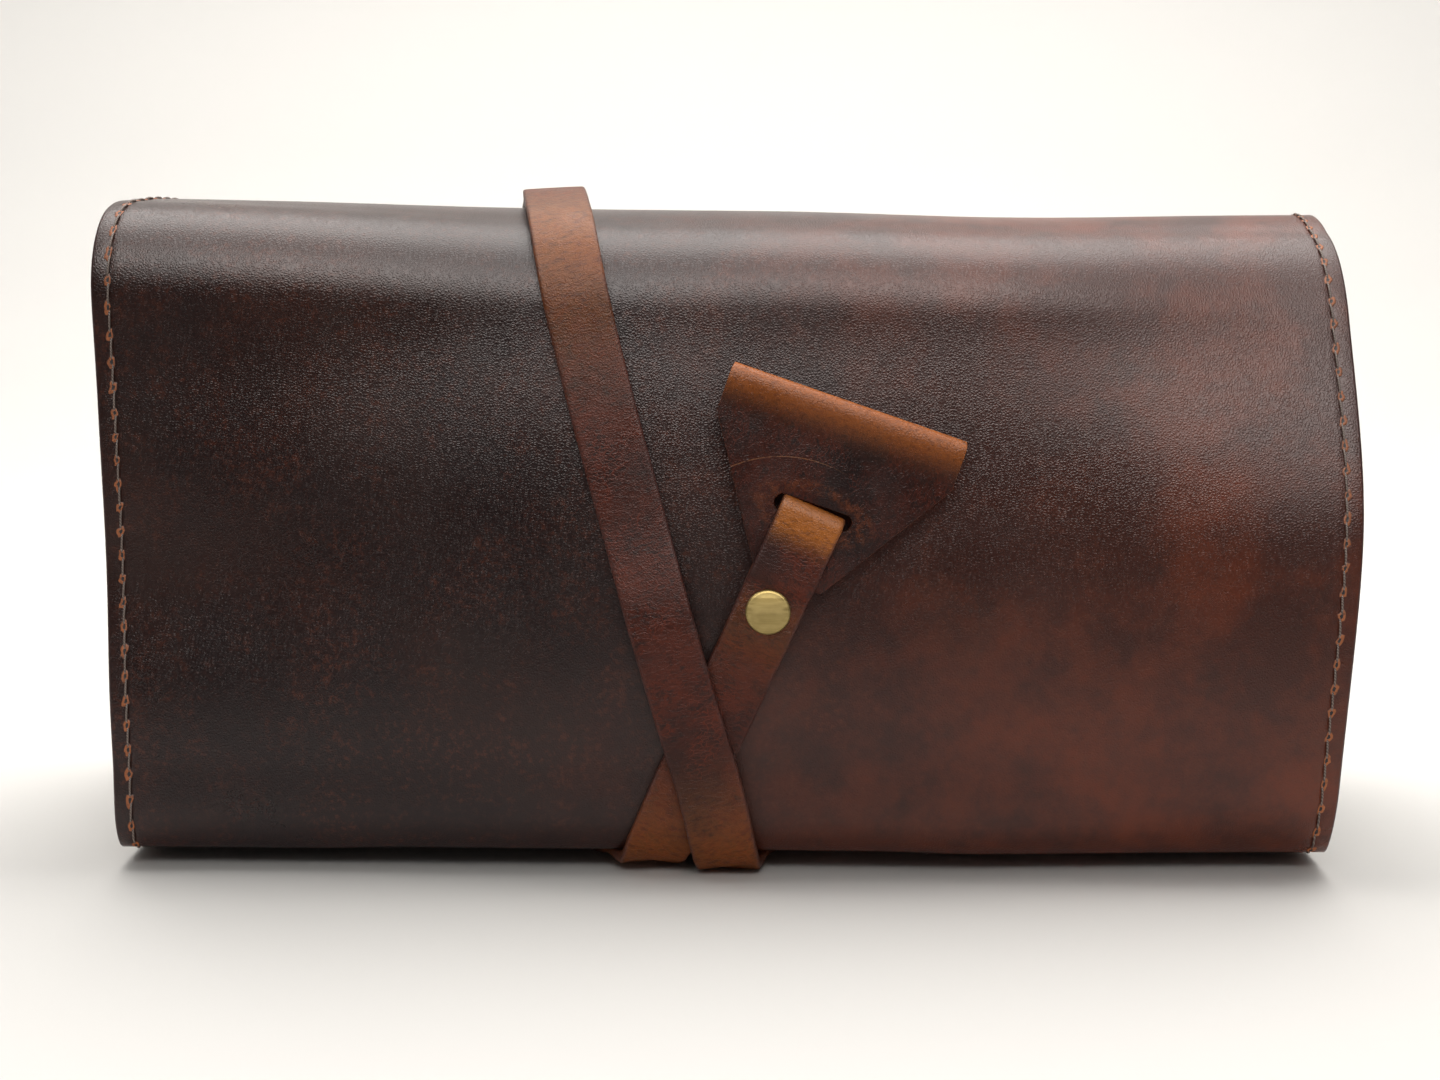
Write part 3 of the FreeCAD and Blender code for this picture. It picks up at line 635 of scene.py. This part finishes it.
def make_loop(leather):
    profile = loop_profile()
    frames = toggle_frames(profile)
    for number in range(5):
        centre, across, outwards, half, low, high = frames[-1 - number]
        frames[-1 - number] = (centre, across, outwards, half, low, high - 0.95 * (1 - number / 5) ** 0.8)

    # Pull-up lightening where the leather bends; the rise to 1.6 on the loop's round end is also a painted
    # highlight.
    def bend_and_highlight_at(number):
        along, height = profile[number]
        if height < RETURN_TOP:
            return 0.2
        return 0.2 * (1 - smooth(along, -1.0, 6.0)) + 1.6 * smooth(along, 14.0, 22.5)

    loop = strap_object("strap_loop_leather", leather, frames, bend_and_highlight_at, LOOP_RUN)
    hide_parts("strap_loop")
    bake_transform(loop)


# --- the toggle ---

def tab_frame():
    """The tab's frame: its origin in the slot, turned against the loop."""
    turn = Matrix.Rotation(math.radians(TAB_YAW), 4, "Z")
    return TOGGLE @ Matrix.Translation(Vector((0, (SLOT_NEAR + SLOT_FAR) / 2, 0))) @ turn


def tab_half(down):
    """Half of the tab's width, at a distance below its fold."""
    share = max(0.0, (down - TAB_SIDE) / (TAB_LENGTH - TAB_SIDE))
    half = TAB_FOLD_HALF + (TAB_TIP_HALF - TAB_FOLD_HALF) * share
    return half - 0.5 * bump(down, 0.0, 1.2)


def tab_lines():
    """(down, height, slot share) along the leather, from its turned-in end to its tip."""
    front = TAB_LOW + TAB_THICKNESS / 2
    lines = []
    for down in (15.0, 13.0, 11.0, 9.0, 7.0, 5.0, 3.5):
        gap = TAB_THICKNESS + 1.1 * (1 - smooth(down, 3.0, 10.0))
        lines.append((down, front - gap, None))
    for step in range(1, 10):
        angle = -math.pi / 2 + math.pi * step / 10
        lines.append((2.4 - 1.62 * math.cos(angle), front - 0.95 + 1.62 * math.sin(angle), None))
    downs = [3.4 + 1.5 * step for step in range(14)]
    lines += [(down, front + 0.75 * bump(down, 3.6, 3.2), None)
              for down in downs if down < SLOT_TO_FOLD - 0.8]
    first, last = SLOT_TO_FOLD + SLOT_TIGHT, SLOT_TO_FOLD + SLOT_FAR - SLOT_NEAR
    lines += [(first + (last - first) * share, front, share) for share in (0.0, 0.2, 0.5, 0.8, 1.0)]
    lines += [(last + (TAB_LENGTH - last) * step / 8, front, None) for step in range(1, 9)]
    return lines


def make_tab(leather):
    """The folded tab: a sheet with a slot, given its thickness and rounded edges."""
    place = tab_frame()
    inner = [-1.0, -0.86, -0.6, -0.3, 0.0, 0.3, 0.6, 0.86, 1.0]
    outer = [0.2, 0.4, 0.6, 0.8, 0.93, 1.0]
    lines = tab_lines()
    vertices, faces, fold = [], [], []
    for down, height, share in lines:
        half = tab_half(down)
        inside = min(SLOT_HALF, 0.66 * half)
        if share is not None:
            inside = SLOT_HALF - 1.1 * abs(2 * share - 1) ** 3
        columns = [inside * value for value in inner]
        right = [inside + (half - inside) * value for value in outer]
        columns = [-x for x in reversed(right)] + columns + right
        for x in columns:
            droop = 0.35 * (abs(x) / TAB_FOLD_HALF) ** 2 * smooth(-down, -14, 0)
            wobble = 0.16 * noise.noise(Vector((x * 0.12, down * 0.12, 3.3)))
            vertices.append(tuple(place @ Vector((x, SLOT_TO_TOP - down, height - droop + wobble))))
            # Lighter along the fold's rounded nose: pull-up lightening, and a painted highlight where the
            # fold faces up.
            fold.append(1.1 * bump(down, 1.4, 4.4) if height > TAB_LOW - 0.3 else 0.15)
    width = len(inner) + 2 * len(outer)
    for row in range(len(lines) - 1):
        in_slot = lines[row][2] is not None and lines[row + 1][2] is not None
        for column in range(width - 1):
            hole_column = len(outer) <= column < len(outer) + len(inner) - 1
            if in_slot and hole_column:
                continue
            a = row * width + column
            faces.append((a, a + 1, a + width + 1, a + width))
    tab = new_object("toggle_leather", vertices, faces, leather, 60)
    set_attribute(tab, "bend_and_highlight", fold)
    thicken(tab, TAB_THICKNESS, TAB_BEVEL)
    pare_tip(tab)
    mark_edges(tab)
    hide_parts("toggle_tab")
    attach(tab, "toggle")


def thicken(obj, thickness, bevel):
    """Turns a sheet into leather of that thickness with rounded edges."""
    solid = obj.modifiers.new("thickness", "SOLIDIFY")
    solid.thickness = thickness * MM
    solid.offset = 0.0
    solid.use_even_offset = True
    rounded = obj.modifiers.new("edges", "BEVEL")
    rounded.width = bevel * MM
    rounded.segments = 3
    rounded.limit_method = "ANGLE"
    rounded.angle_limit = math.radians(55)
    apply_modifiers(obj)


def apply_modifiers(obj):
    depsgraph = bpy.context.evaluated_depsgraph_get()
    mesh = bpy.data.meshes.new_from_object(obj.evaluated_get(depsgraph))
    obj.modifiers.clear()
    obj.data = mesh


def pare_tip(obj):
    """Pares the tab's tip thin where the loop lies over it."""
    place = tab_frame()
    inverse = place.inverted()
    for vertex in obj.data.vertices:
        x, y, height = inverse @ (vertex.co / MM)
        to_tip = TAB_LENGTH - (SLOT_TO_TOP - y)
        limit = TAB_LOW + SKIVE_EDGE + max(to_tip, 0.0) * SKIVE_SLOPE
        if to_tip < SKIVE_LENGTH and height > limit:
            vertex.co = (place @ Vector((x, y, limit))) * MM


def mark_edges(obj):
    """Marks the cut edges: points whose normal lies in the tab's own plane."""
    outwards = (TOGGLE.to_3x3() @ Vector((0, 0, 1))).normalized()
    along = (tab_frame().to_3x3() @ Vector((0, 1, 0))).normalized()
    place = tab_frame().inverted()
    values = []
    for vertex in obj.data.vertices:
        flat = 1 - abs(vertex.normal.dot(outwards))
        down = SLOT_TO_TOP - (place @ (vertex.co / MM)).y
        rounded_fold = down < 4.0 and vertex.normal.dot(along) > 0.3
        values.append(0.0 if rounded_fold else smooth(flat, 0.25, 0.8))
    set_attribute(obj, "edge", values)


# --- rivets ---

CAP_PROFILE = ((5.0, 0.0), (5.02, 0.28), (4.96, 0.52), (4.8, 0.74), (4.55, 0.88), (4.3, 0.93), (4.1, 0.95),
               (3.7, 1.06), (2.9, 1.22), (1.9, 1.36), (0.9, 1.43), (0.02, 1.45))
ANCHOR_CLIMBS = (12.0, 30.0)
ANCHOR_CAP_LOW, TOGGLE_BACK_TOP = 2.4, 1.1
LATHE_SIDES = 48
BACK_PROFILE = ((4.5, 0.0), (4.5, -0.4), (4.3, -0.65), (3.9, -0.78), (2.0, -0.8), (0.02, -0.8))


def lathe(batch, place, profile, level):
    rings = []
    for radius, height in profile:
        rings.append([tuple(place @ Vector((radius * math.cos(a), radius * math.sin(a), level + height)))
                      for a in (math.tau * step / LATHE_SIDES for step in range(LATHE_SIDES))])
    batch.rings(rings)


def rivet_piece(name, node, body, places, profile, level, brass):
    batch = Batch()
    for place in places:
        lathe(batch, place, profile, level)
    rivet = batch.make(name, brass)
    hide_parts(node)
    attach(rivet, body)


def anchor_places():
    """The strap's two rivets on the cover's outer end."""
    places = []
    for climb in ANCHOR_CLIMBS:
        centre, across, outwards, *_ = wound_frame(-(OUTER_END + climb))
        along = outwards.cross(across)
        matrix = Matrix((across, along, outwards)).transposed().to_4x4()
        matrix.translation = centre
        places.append(matrix)
    return places


def make_rivets(brass):
    rivet_piece("toggle_cap", "toggle_rivet_cap", "tail", [TOGGLE], CAP_PROFILE, RIVET_TOP, brass)
    rivet_piece("toggle_back", "toggle_rivet_back", "tail", [TOGGLE], BACK_PROFILE, TOGGLE_BACK_TOP, brass)
    anchors = anchor_places()
    rivet_piece("anchor_caps", "anchor_rivet_caps", "case", anchors, CAP_PROFILE, ANCHOR_CAP_LOW, brass)
    rivet_piece("anchor_backs", "anchor_rivet_backs", "case", anchors, BACK_PROFILE,
                -COVER_THICKNESS - 0.06, brass)


# --- materials ---

class Nodes:
    """Short calls for building one material's node tree."""

    def __init__(self, name):
        self.material = bpy.data.materials.new(name)
        self.material.use_nodes = True
        self.tree = self.material.node_tree
        self.shader = self.tree.nodes["Principled BSDF"]
        self.place = self.add("ShaderNodeTexCoord").outputs["Object"]

    def add(self, kind, **settings):
        node = self.tree.nodes.new(kind)
        for key, value in settings.items():
            setattr(node, key, value)
        return node

    def link(self, source, socket):
        self.tree.links.new(source, socket)

    def set(self, node, **values):
        for name, value in values.items():
            node.inputs[name.replace("_", " ")].default_value = value

    def put(self, socket, value):
        """Links an output, or sets a plain value."""
        if isinstance(value, bpy.types.NodeSocket):
            self.link(value, socket)
        else:
            socket.default_value = value

    def stretched(self, scale, turn=(0, 0, 0), place=None):
        node = self.add("ShaderNodeMapping")
        self.link(place or self.place, node.inputs["Vector"])
        self.set(node, Scale=scale, Rotation=[math.radians(angle) for angle in turn])
        return node.outputs["Vector"]

    def noise(self, scale, detail=3.0, rough=0.5, place=None, distortion=0.0):
        node = self.add("ShaderNodeTexNoise")
        self.link(place or self.place, node.inputs["Vector"])
        self.set(node, Scale=scale, Detail=detail, Roughness=rough, Distortion=distortion)
        return node.outputs["Fac"]

    def cells(self, scale, feature="DISTANCE_TO_EDGE", place=None):
        node = self.add("ShaderNodeTexVoronoi", feature=feature)
        self.link(place or self.place, node.inputs["Vector"])
        self.set(node, Scale=scale)
        return node.outputs["Distance"]

    def between(self, value, low, high, out_low=0.0, out_high=1.0):
        node = self.add("ShaderNodeMapRange", interpolation_type="SMOOTHSTEP")
        self.put(node.inputs["Value"], value)
        for socket, number in zip(node.inputs[1:5], (low, high, out_low, out_high)):
            socket.default_value = number
        return node.outputs["Result"]

    def math(self, operation, a, b=0.0):
        node = self.add("ShaderNodeMath", operation=operation)
        self.put(node.inputs[0], a)
        self.put(node.inputs[1], b)
        return node.outputs[0]

    def mix(self, amount, a, b, blend="MIX"):
        node = self.add("ShaderNodeMix", data_type="RGBA", blend_type=blend)
        self.put(node.inputs["Factor"], amount)
        for socket, value in ((node.inputs[6], a), (node.inputs[7], b)):
            self.put(socket, value if isinstance(value, bpy.types.NodeSocket) else (*value, 1.0))
        return node.outputs[2]

    def axis(self, letter):
        node = self.add("ShaderNodeSeparateXYZ")
        self.link(self.place, node.inputs[0])
        return node.outputs[letter]

    def local(self, matrix):
        """(across, along) in metres in another frame."""
        inverse = matrix.inverted()
        node = self.add("ShaderNodeMapping")
        self.link(self.place, node.inputs["Vector"])
        self.set(node, Rotation=inverse.to_euler(), Location=inverse.translation * MM)
        axes = self.add("ShaderNodeSeparateXYZ")
        self.link(node.outputs["Vector"], axes.inputs[0])
        return axes.outputs["X"], axes.outputs["Y"]

    def times(self, a, b):
        return self.math("MULTIPLY", a, b)

    def square(self, value, size, middle=0.0):
        share = self.math("DIVIDE", self.math("SUBTRACT", value, middle), size)
        return self.math("POWER", self.math("ABSOLUTE", share), 2.0)

    def attribute(self, name, output="Fac"):
        return self.add("ShaderNodeAttribute", attribute_name=name).outputs[output]

    def wrinkled(self, place, across, along):
        """Millimetre coordinates scaled apart, so that a texture's marks lie across the strap."""
        return self.stretched((across, along, 1.0), place=place)

    def bump(self, height, distance, strength=1.0, under=None):
        node = self.add("ShaderNodeBump")
        self.link(height, node.inputs["Height"])
        self.set(node, Distance=distance, Strength=strength)
        if under is not None:
            self.link(under, node.inputs["Normal"])
        return node.outputs["Normal"]

    def finish(self, color, roughness, normal=None, **constants):
        self.put(self.shader.inputs["Base Color"], color)
        self.put(self.shader.inputs["Roughness"], roughness)
        if normal is not None:
            self.link(normal, self.shader.inputs["Normal"])
        self.set(self.shader, **constants)
        return self.material


def grain_bump(nodes, size, depth, extra=None):
    """Leather's fine pebble grain over softer pores."""
    pebbles = nodes.cells(1 / size, place=nodes.stretched((1, 1, 1), (20, 35, 10)))
    pores = nodes.noise(1.25 / size, 4, 0.6)
    fine = nodes.bump(nodes.between(pebbles, 0.0, 0.35), depth, 0.7, extra)
    return nodes.bump(pores, depth * 0.8, 0.5, fine)


def cover_leather():
    """Hand-dyed waxed leather: purple-black on the left, mottled red-brown on the right."""
    nodes = Nodes("cover_leather")
    to_right = nodes.between(nodes.axis("X"), -0.06, 0.10)
    broad = nodes.noise(11.0, 6, 0.6, distortion=0.25)
    cloud = nodes.noise(48.0, 10, 0.70)
    color = nodes.mix(nodes.between(broad, 0.34, 0.68), (0.0140, 0.0042, 0.0046), (0.033, 0.0095, 0.0060))
    color = nodes.mix(nodes.times(to_right, 0.55), color, (0.092, 0.0200, 0.0100))
    patch = nodes.math("ADD", nodes.times(nodes.noise(17.0, 5, 0.6, distortion=0.2), 0.55),
                       nodes.times(cloud, 0.45))
    red = nodes.times(nodes.between(patch, 0.45, 0.63), nodes.math("ADD", to_right, 0.10))
    color = nodes.mix(nodes.times(red, 0.75), color, (0.185, 0.0340, 0.0095))
    stain = nodes.between(nodes.noise(34.0, 10, 0.70, distortion=0.2), 0.50, 0.68)
    color = nodes.mix(nodes.times(stain, 0.4), color, (0.0290, 0.0150, 0.0125))
    fleck = nodes.between(nodes.noise(620.0, 6, 0.72), 0.47, 0.68)
    color = nodes.mix(nodes.times(fleck, nodes.between(cloud, 0.40, 0.60, 0.10, 0.65)), color,
                      (0.120, 0.0300, 0.0135))
    scuff = nodes.between(nodes.noise(210.0, 4, 0.72, nodes.stretched((0.3, 1, 1), (0, 35, 0))), 0.74, 0.78)
    color = nodes.mix(nodes.times(scuff, 0.5), color, (0.20, 0.13, 0.09))
    color = nodes.mix(nodes.attribute("edge"), color, (0.072, 0.032, 0.032))
    rough = nodes.between(nodes.noise(26.0, 6, 0.6), 0.3, 0.7, 0.27, 0.34)
    soft = nodes.bump(nodes.noise(45.0, 3, 0.5), 0.0004, 0.2, grain_bump(nodes, 0.00062, 0.000052))
    return nodes.finish(color, rough, soft, Specular_IOR_Level=0.38)


def pull_up_color(nodes, place, dark, light, creased):
    """Oiled leather: light where it was worked, with fine marks that lie across the strap."""
    wobble = nodes.add("ShaderNodeTexNoise")
    nodes.link(place, wobble.inputs["Vector"])
    wobble.inputs["Scale"].default_value = 0.35
    shaken = nodes.add("ShaderNodeVectorMath", operation="MULTIPLY_ADD")
    nodes.link(wobble.outputs["Color"], shaken.inputs[0])
    shaken.inputs[1].default_value = (2.4, 2.4, 2.4)
    nodes.link(place, shaken.inputs[2])
    marks = nodes.wrinkled(shaken.outputs[0], 0.55, 1.25)
    broad = nodes.between(nodes.noise(0.045, 7, 0.62, place), 0.38, 0.62)
    color = nodes.mix(broad, dark, light)
    speckle = nodes.between(nodes.noise(1.0, 8, 0.74, marks), 0.44, 0.60)
    where = nodes.between(nodes.noise(0.10, 7, 0.68, place), 0.40, 0.60, 0.25, 1.0)
    color = nodes.mix(nodes.times(nodes.times(speckle, where), 0.85), color, creased)
    lines = nodes.between(nodes.cells(0.85, place=marks), 0.0, 0.11, 1.0, 0.0)
    bright = nodes.times(lines, nodes.between(nodes.noise(0.12, 5, 0.6, place), 0.48, 0.60))
    pale = tuple(min(1.0, 1.9 * value) for value in light)
    return nodes.mix(nodes.times(bright, 0.45), color, pale), lines


def strap_leather():
    """Pull-up leather: red-brown, darkened in blotches, orange where it bends, and on the loop's round end a
    painted highlight.
    """
    nodes = Nodes("strap_leather")
    place = nodes.attribute("run", "Vector")
    color, lines = pull_up_color(nodes, place, (0.038, 0.0065, 0.0032), (0.112, 0.0165, 0.0042),
                                 (0.014, 0.0048, 0.0042))
    flecks = nodes.noise(0.9, 6, 0.68, nodes.wrinkled(place, 0.5, 1.3))
    break_up = nodes.between(flecks, 0.30, 0.58, 0.35, 1.0)
    bend_and_highlight = nodes.times(nodes.attribute("bend_and_highlight"), break_up)
    # Orange where the leather bends, and on the loop's round end also a painted highlight.
    color = nodes.mix(nodes.times(bend_and_highlight, 0.9), color, (0.560, 0.1750, 0.0260))
    rubbed = nodes.between(nodes.noise(210.0, 3, 0.6), 0.35, 0.6, 0.35, 1.0)
    worn = nodes.times(nodes.attribute("edge"), rubbed)
    color = nodes.mix(nodes.times(worn, 0.8), color, (0.095, 0.0400, 0.0350))
    rough = nodes.between(nodes.noise(70.0, 5, 0.6), 0.3, 0.7, 0.34, 0.48)
    creases = nodes.bump(nodes.between(lines, 0.0, 1.0, 1.0, 0.0), 0.00006, 0.6)
    return nodes.finish(color, rough, grain_bump(nodes, 0.00062, 0.000045, creases), Specular_IOR_Level=0.25)


def toggle_leather():
    """The tab's leather: orange round its slot and on its cut edges, and along its fold, where the orange is
    also a painted highlight.
    """
    nodes = Nodes("toggle_leather")
    across, along = nodes.local(tab_frame())
    flat = nodes.add("ShaderNodeCombineXYZ")
    nodes.put(flat.inputs["X"], nodes.times(along, 1000.0))
    nodes.put(flat.inputs["Y"], nodes.times(across, 1000.0))
    place = flat.outputs["Vector"]
    color, lines = pull_up_color(nodes, place, (0.018, 0.0042, 0.0034), (0.076, 0.0115, 0.0040),
                                 (0.010, 0.0040, 0.0036))
    flecks = nodes.noise(1.0, 7, 0.7, nodes.wrinkled(place, 1.1, 0.6))
    break_up = nodes.between(flecks, 0.30, 0.56, 0.5, 1.0)
    fold = nodes.times(nodes.attribute("bend_and_highlight"), break_up)
    # Orange along the fold: pull-up lightening and a painted highlight.
    color = nodes.mix(nodes.times(fold, 0.95), color, (0.460, 0.1250, 0.0180))
    oval = nodes.math("SQRT", nodes.math("ADD", nodes.square(across, 0.0120),
                                         nodes.square(along, 0.0060, -0.0006)))
    ring = nodes.times(nodes.between(oval, 0.62, 0.92), nodes.between(oval, 0.95, 1.30, 1.0, 0.0))
    worn = nodes.times(ring, nodes.between(nodes.noise(0.45, 7, 0.72, place), 0.42, 0.62))
    color = nodes.mix(nodes.times(worn, 0.6), color, (0.230, 0.0560, 0.0150))
    circle = nodes.math("SQRT", nodes.math("ADD", nodes.square(across, 0.0278, -0.0017),
                                           nodes.square(along, 0.0278, -0.0172)))
    off = nodes.math("ABSOLUTE", nodes.math("SUBTRACT", circle, 1.0))
    scratch = nodes.times(nodes.between(off, 0.001, 0.006, 1.0, 0.0),
                          nodes.between(nodes.noise(0.55, 4, 0.6, place), 0.38, 0.52, 0.15, 1.0))
    scratch = nodes.times(scratch, nodes.between(across, -0.006, 0.006, 1.0, 0.0))
    color = nodes.mix(nodes.times(scratch, nodes.between(along, 0.0, 0.003, 0.0, 0.8)), color,
                      (0.330, 0.1350, 0.0600))
    fibres = nodes.between(nodes.noise(260.0, 4, 0.6), 0.3, 0.6, 0.35, 1.0)
    raw = nodes.times(nodes.attribute("edge"), fibres)
    color = nodes.mix(raw, color, (0.270, 0.0800, 0.0300))
    rough = nodes.between(nodes.noise(80.0, 5, 0.6), 0.3, 0.7, 0.32, 0.46)
    creases = nodes.bump(nodes.between(lines, 0.0, 1.0, 1.0, 0.0), 0.00004, 0.5)
    return nodes.finish(color, rough, grain_bump(nodes, 0.00062, 0.000045, creases), Specular_IOR_Level=0.25)


def plain_leather(name, dark, light, grain):
    """Thin inside leather with a soft, dry face."""
    nodes = Nodes(name)
    broad = nodes.noise(30.0, 6, 0.6, distortion=0.5)
    color = nodes.mix(nodes.between(broad, 0.3, 0.7), dark, light)
    pores = nodes.between(nodes.noise(1400.0, 3, 0.6), 0.45, 0.62)
    color = nodes.mix(nodes.times(pores, 0.25), color, tuple(value * 0.55 for value in dark))
    return nodes.finish(color, 0.62, grain_bump(nodes, grain, 0.00006))


def hole_leather():
    """The punched rims: raw orange-brown leather round a hole whose inside is painted near-black as shade.
    """
    nodes = Nodes("hole_leather")
    shade = nodes.attribute("shade")
    # Where shade is low, the hole's inside is painted near-black as shade.
    color = nodes.mix(nodes.between(shade, 0.02, 0.12), (0.004, 0.002, 0.002), (0.040, 0.0165, 0.0125))
    ragged = nodes.between(nodes.noise(900.0, 5, 0.7), 0.32, 0.50, 0.3, 1.0)
    raw = nodes.times(nodes.between(shade, 0.25, 0.9), ragged)
    color = nodes.mix(raw, color, (0.420, 0.1150, 0.0240))
    return nodes.finish(color, 0.6, grain_bump(nodes, 0.0006, 0.00004))


def thread_material():
    """Waxed linen thread, twisted from fine strands."""
    nodes = Nodes("thread")
    strands = nodes.add("ShaderNodeTexWave", wave_type="BANDS", bands_direction="DIAGONAL")
    nodes.link(nodes.place, strands.inputs["Vector"])
    nodes.set(strands, Scale=900.0, Distortion=1.5)
    color = nodes.mix(strands.outputs["Fac"], (0.090, 0.062, 0.054), (0.300, 0.230, 0.190))
    return nodes.finish(color, 0.6, nodes.bump(strands.outputs["Fac"], 0.00006, 0.8))


def brass():
    """Antique brass, brushed one way, a little darker where its finish has aged."""
    nodes = Nodes("antique_brass")
    brushed = nodes.noise(1500.0, 2, 0.5, nodes.stretched((0.03, 1, 1), (0, 20, 0)))
    age = nodes.between(nodes.noise(300.0, 4, 0.6), 0.40, 0.75)
    color = nodes.mix(nodes.between(brushed, 0.3, 0.7), (0.300, 0.225, 0.085), (0.400, 0.310, 0.130))
    color = nodes.mix(nodes.times(age, 0.25), color, (0.19, 0.135, 0.055))
    rough = nodes.between(brushed, 0.3, 0.7, 0.42, 0.54)
    return nodes.finish(color, rough, nodes.bump(brushed, 0.000015, 0.5), Metallic=1.0)


def floor_material():
    """Pale near the roll, and painted darker further towards the viewer, as shade."""
    nodes = Nodes("floor_with_painted_shade")
    near = nodes.between(nodes.axis("Y"), -0.40, -0.19)
    # The dark colour is painted shade, for the unlit floor towards the viewer.
    color = nodes.mix(near, (0.16, 0.155, 0.15), (0.80, 0.785, 0.76))
    return nodes.finish(color, 0.75)


# --- the stage ---

def make_stage():
    """A floor, pale round the roll and with painted shade further out, that sweeps up into a backdrop."""
    section = [(-1.6, 0.0), (0.5, 0.0)]
    section += [(0.5 + 0.4 * math.sin(a), 0.4 - 0.4 * math.cos(a)) for a in
                (math.radians(15 * step) for step in range(1, 7))]
    section.append((0.9, 2.0))
    vertices, faces = [], []
    for y, z in section:
        vertices += [(-2.5 / MM, y / MM, z / MM), (2.5 / MM, y / MM, z / MM)]
    for row in range(len(section) - 1):
        a = 2 * row
        faces.append((a, a + 1, a + 3, a + 2))
    new_object("floor", vertices, faces, floor_material(), 180)


def area_light(name, place, target, size, power, color, sheen_only=False):
    """An area light. A sheen-only one adds reflections and no diffuse light."""
    data = bpy.data.lights.new(name, "AREA")
    data.shape = "RECTANGLE"
    data.size, data.size_y = size
    data.energy = power
    data.color = color
    light = bpy.data.objects.new(name, data)
    bpy.context.collection.objects.link(light)
    light.location = place
    light.rotation_euler = (Vector(target) - Vector(place)).to_track_quat("-Z", "Y").to_euler()
    light.visible_diffuse = not sheen_only


def make_lights():
    """Three lights, two more that only add sheen, and a dim sky."""
    area_light("overhead", (0.0, 0.30, 0.92), (0.0, 0.03, 0.0), (1.1, 0.62), 11.0, (1.0, 0.975, 0.94))
    area_light("front", (0.0, -0.9, 1.0), (0.0, -0.05, 0.1), (0.8, 0.4), 2.1, (1.0, 0.985, 0.97))
    area_light("front_sheen", (0.05, -0.92, 0.92), (0.0, -0.05, 0.11), (1.5, 0.66), 21.0, (1.0, 0.95, 0.91),
               sheen_only=True)
    area_light("top_sheen", (0.0, -0.22, 1.12), (0.0, -0.04, 0.13), (1.5, 0.6), 9.0, (1.0, 0.955, 0.92),
               sheen_only=True)
    area_light("backdrop", (0.15, 0.1, 1.3), (0.1, 0.9, 0.4), (2.8, 0.5), 10.0, (1.0, 0.99, 0.97))
    world = bpy.data.worlds.new("studio")
    bpy.context.scene.world = world
    world.use_nodes = True
    tree = world.node_tree
    direction = tree.nodes.new("ShaderNodeTexCoord").outputs["Generated"]
    axes = tree.nodes.new("ShaderNodeSeparateXYZ")
    tree.links.new(direction, axes.inputs[0])
    total = tree.nodes.new("ShaderNodeMath")
    total.operation = "ADD"
    ranges = (("Z", 0, (0.15, 0.85, 0.02, 0.22)), ("Y", 1, (-0.1, 0.7, 0.0, 0.25)))
    for letter, socket, numbers in ranges:
        amount = tree.nodes.new("ShaderNodeMapRange")
        amount.interpolation_type = "SMOOTHSTEP"
        tree.links.new(axes.outputs[letter], amount.inputs["Value"])
        for place, number in zip(amount.inputs[1:5], numbers):
            place.default_value = number
        tree.links.new(amount.outputs["Result"], total.inputs[socket])
    background = tree.nodes["Background"]
    background.inputs["Color"].default_value = (1.0, 0.985, 0.96, 1.0)
    tree.links.new(total.outputs[0], background.inputs["Strength"])


CAMERA_TARGET = (-0.0015, -0.0488, 0.0774)
CAMERA_DISTANCE = 0.424
CAMERA_AZIMUTH, CAMERA_ELEVATION, CAMERA_ROLL, CAMERA_ANGLE = 0.4, 9.0, 0.39, 41.2


def make_camera():
    data = bpy.data.cameras.new("camera")
    data.sensor_width = 36.0
    data.angle = math.radians(CAMERA_ANGLE)
    data.clip_start = 0.01
    camera = bpy.data.objects.new("camera", data)
    bpy.context.collection.objects.link(camera)
    azimuth, elevation = math.radians(CAMERA_AZIMUTH), math.radians(CAMERA_ELEVATION)
    back = Vector((math.sin(azimuth) * math.cos(elevation), -math.cos(azimuth) * math.cos(elevation),
                   math.sin(elevation)))
    camera.location = Vector(CAMERA_TARGET) + back * CAMERA_DISTANCE
    turn = (-back).to_track_quat("-Z", "Y").to_matrix() @ Matrix.Rotation(math.radians(CAMERA_ROLL), 3, "Z")
    camera.rotation_euler = turn.to_euler()
    bpy.context.scene.camera = camera


def main():
    cover = cover_leather()
    strap = strap_leather()
    thread = thread_material()
    metal = brass()
    make_cover(cover)
    make_inside(plain_leather("lining_leather", (0.17, 0.105, 0.062), (0.24, 0.155, 0.095), 0.0009),
                plain_leather("pocket_leather", (0.075, 0.034, 0.020), (0.115, 0.052, 0.029), 0.0008))
    holes = hole_leather()
    seam(-1, thread, holes)
    seam(1, thread, holes)
    make_dividers(thread)
    make_wound_strap(strap)
    make_tail(strap)
    make_loop(strap)
    make_tab(toggle_leather())
    make_rivets(metal)
    make_stage()
    make_lights()
    make_camera()
    bpy.context.scene.view_settings.view_transform = "Standard"


main()
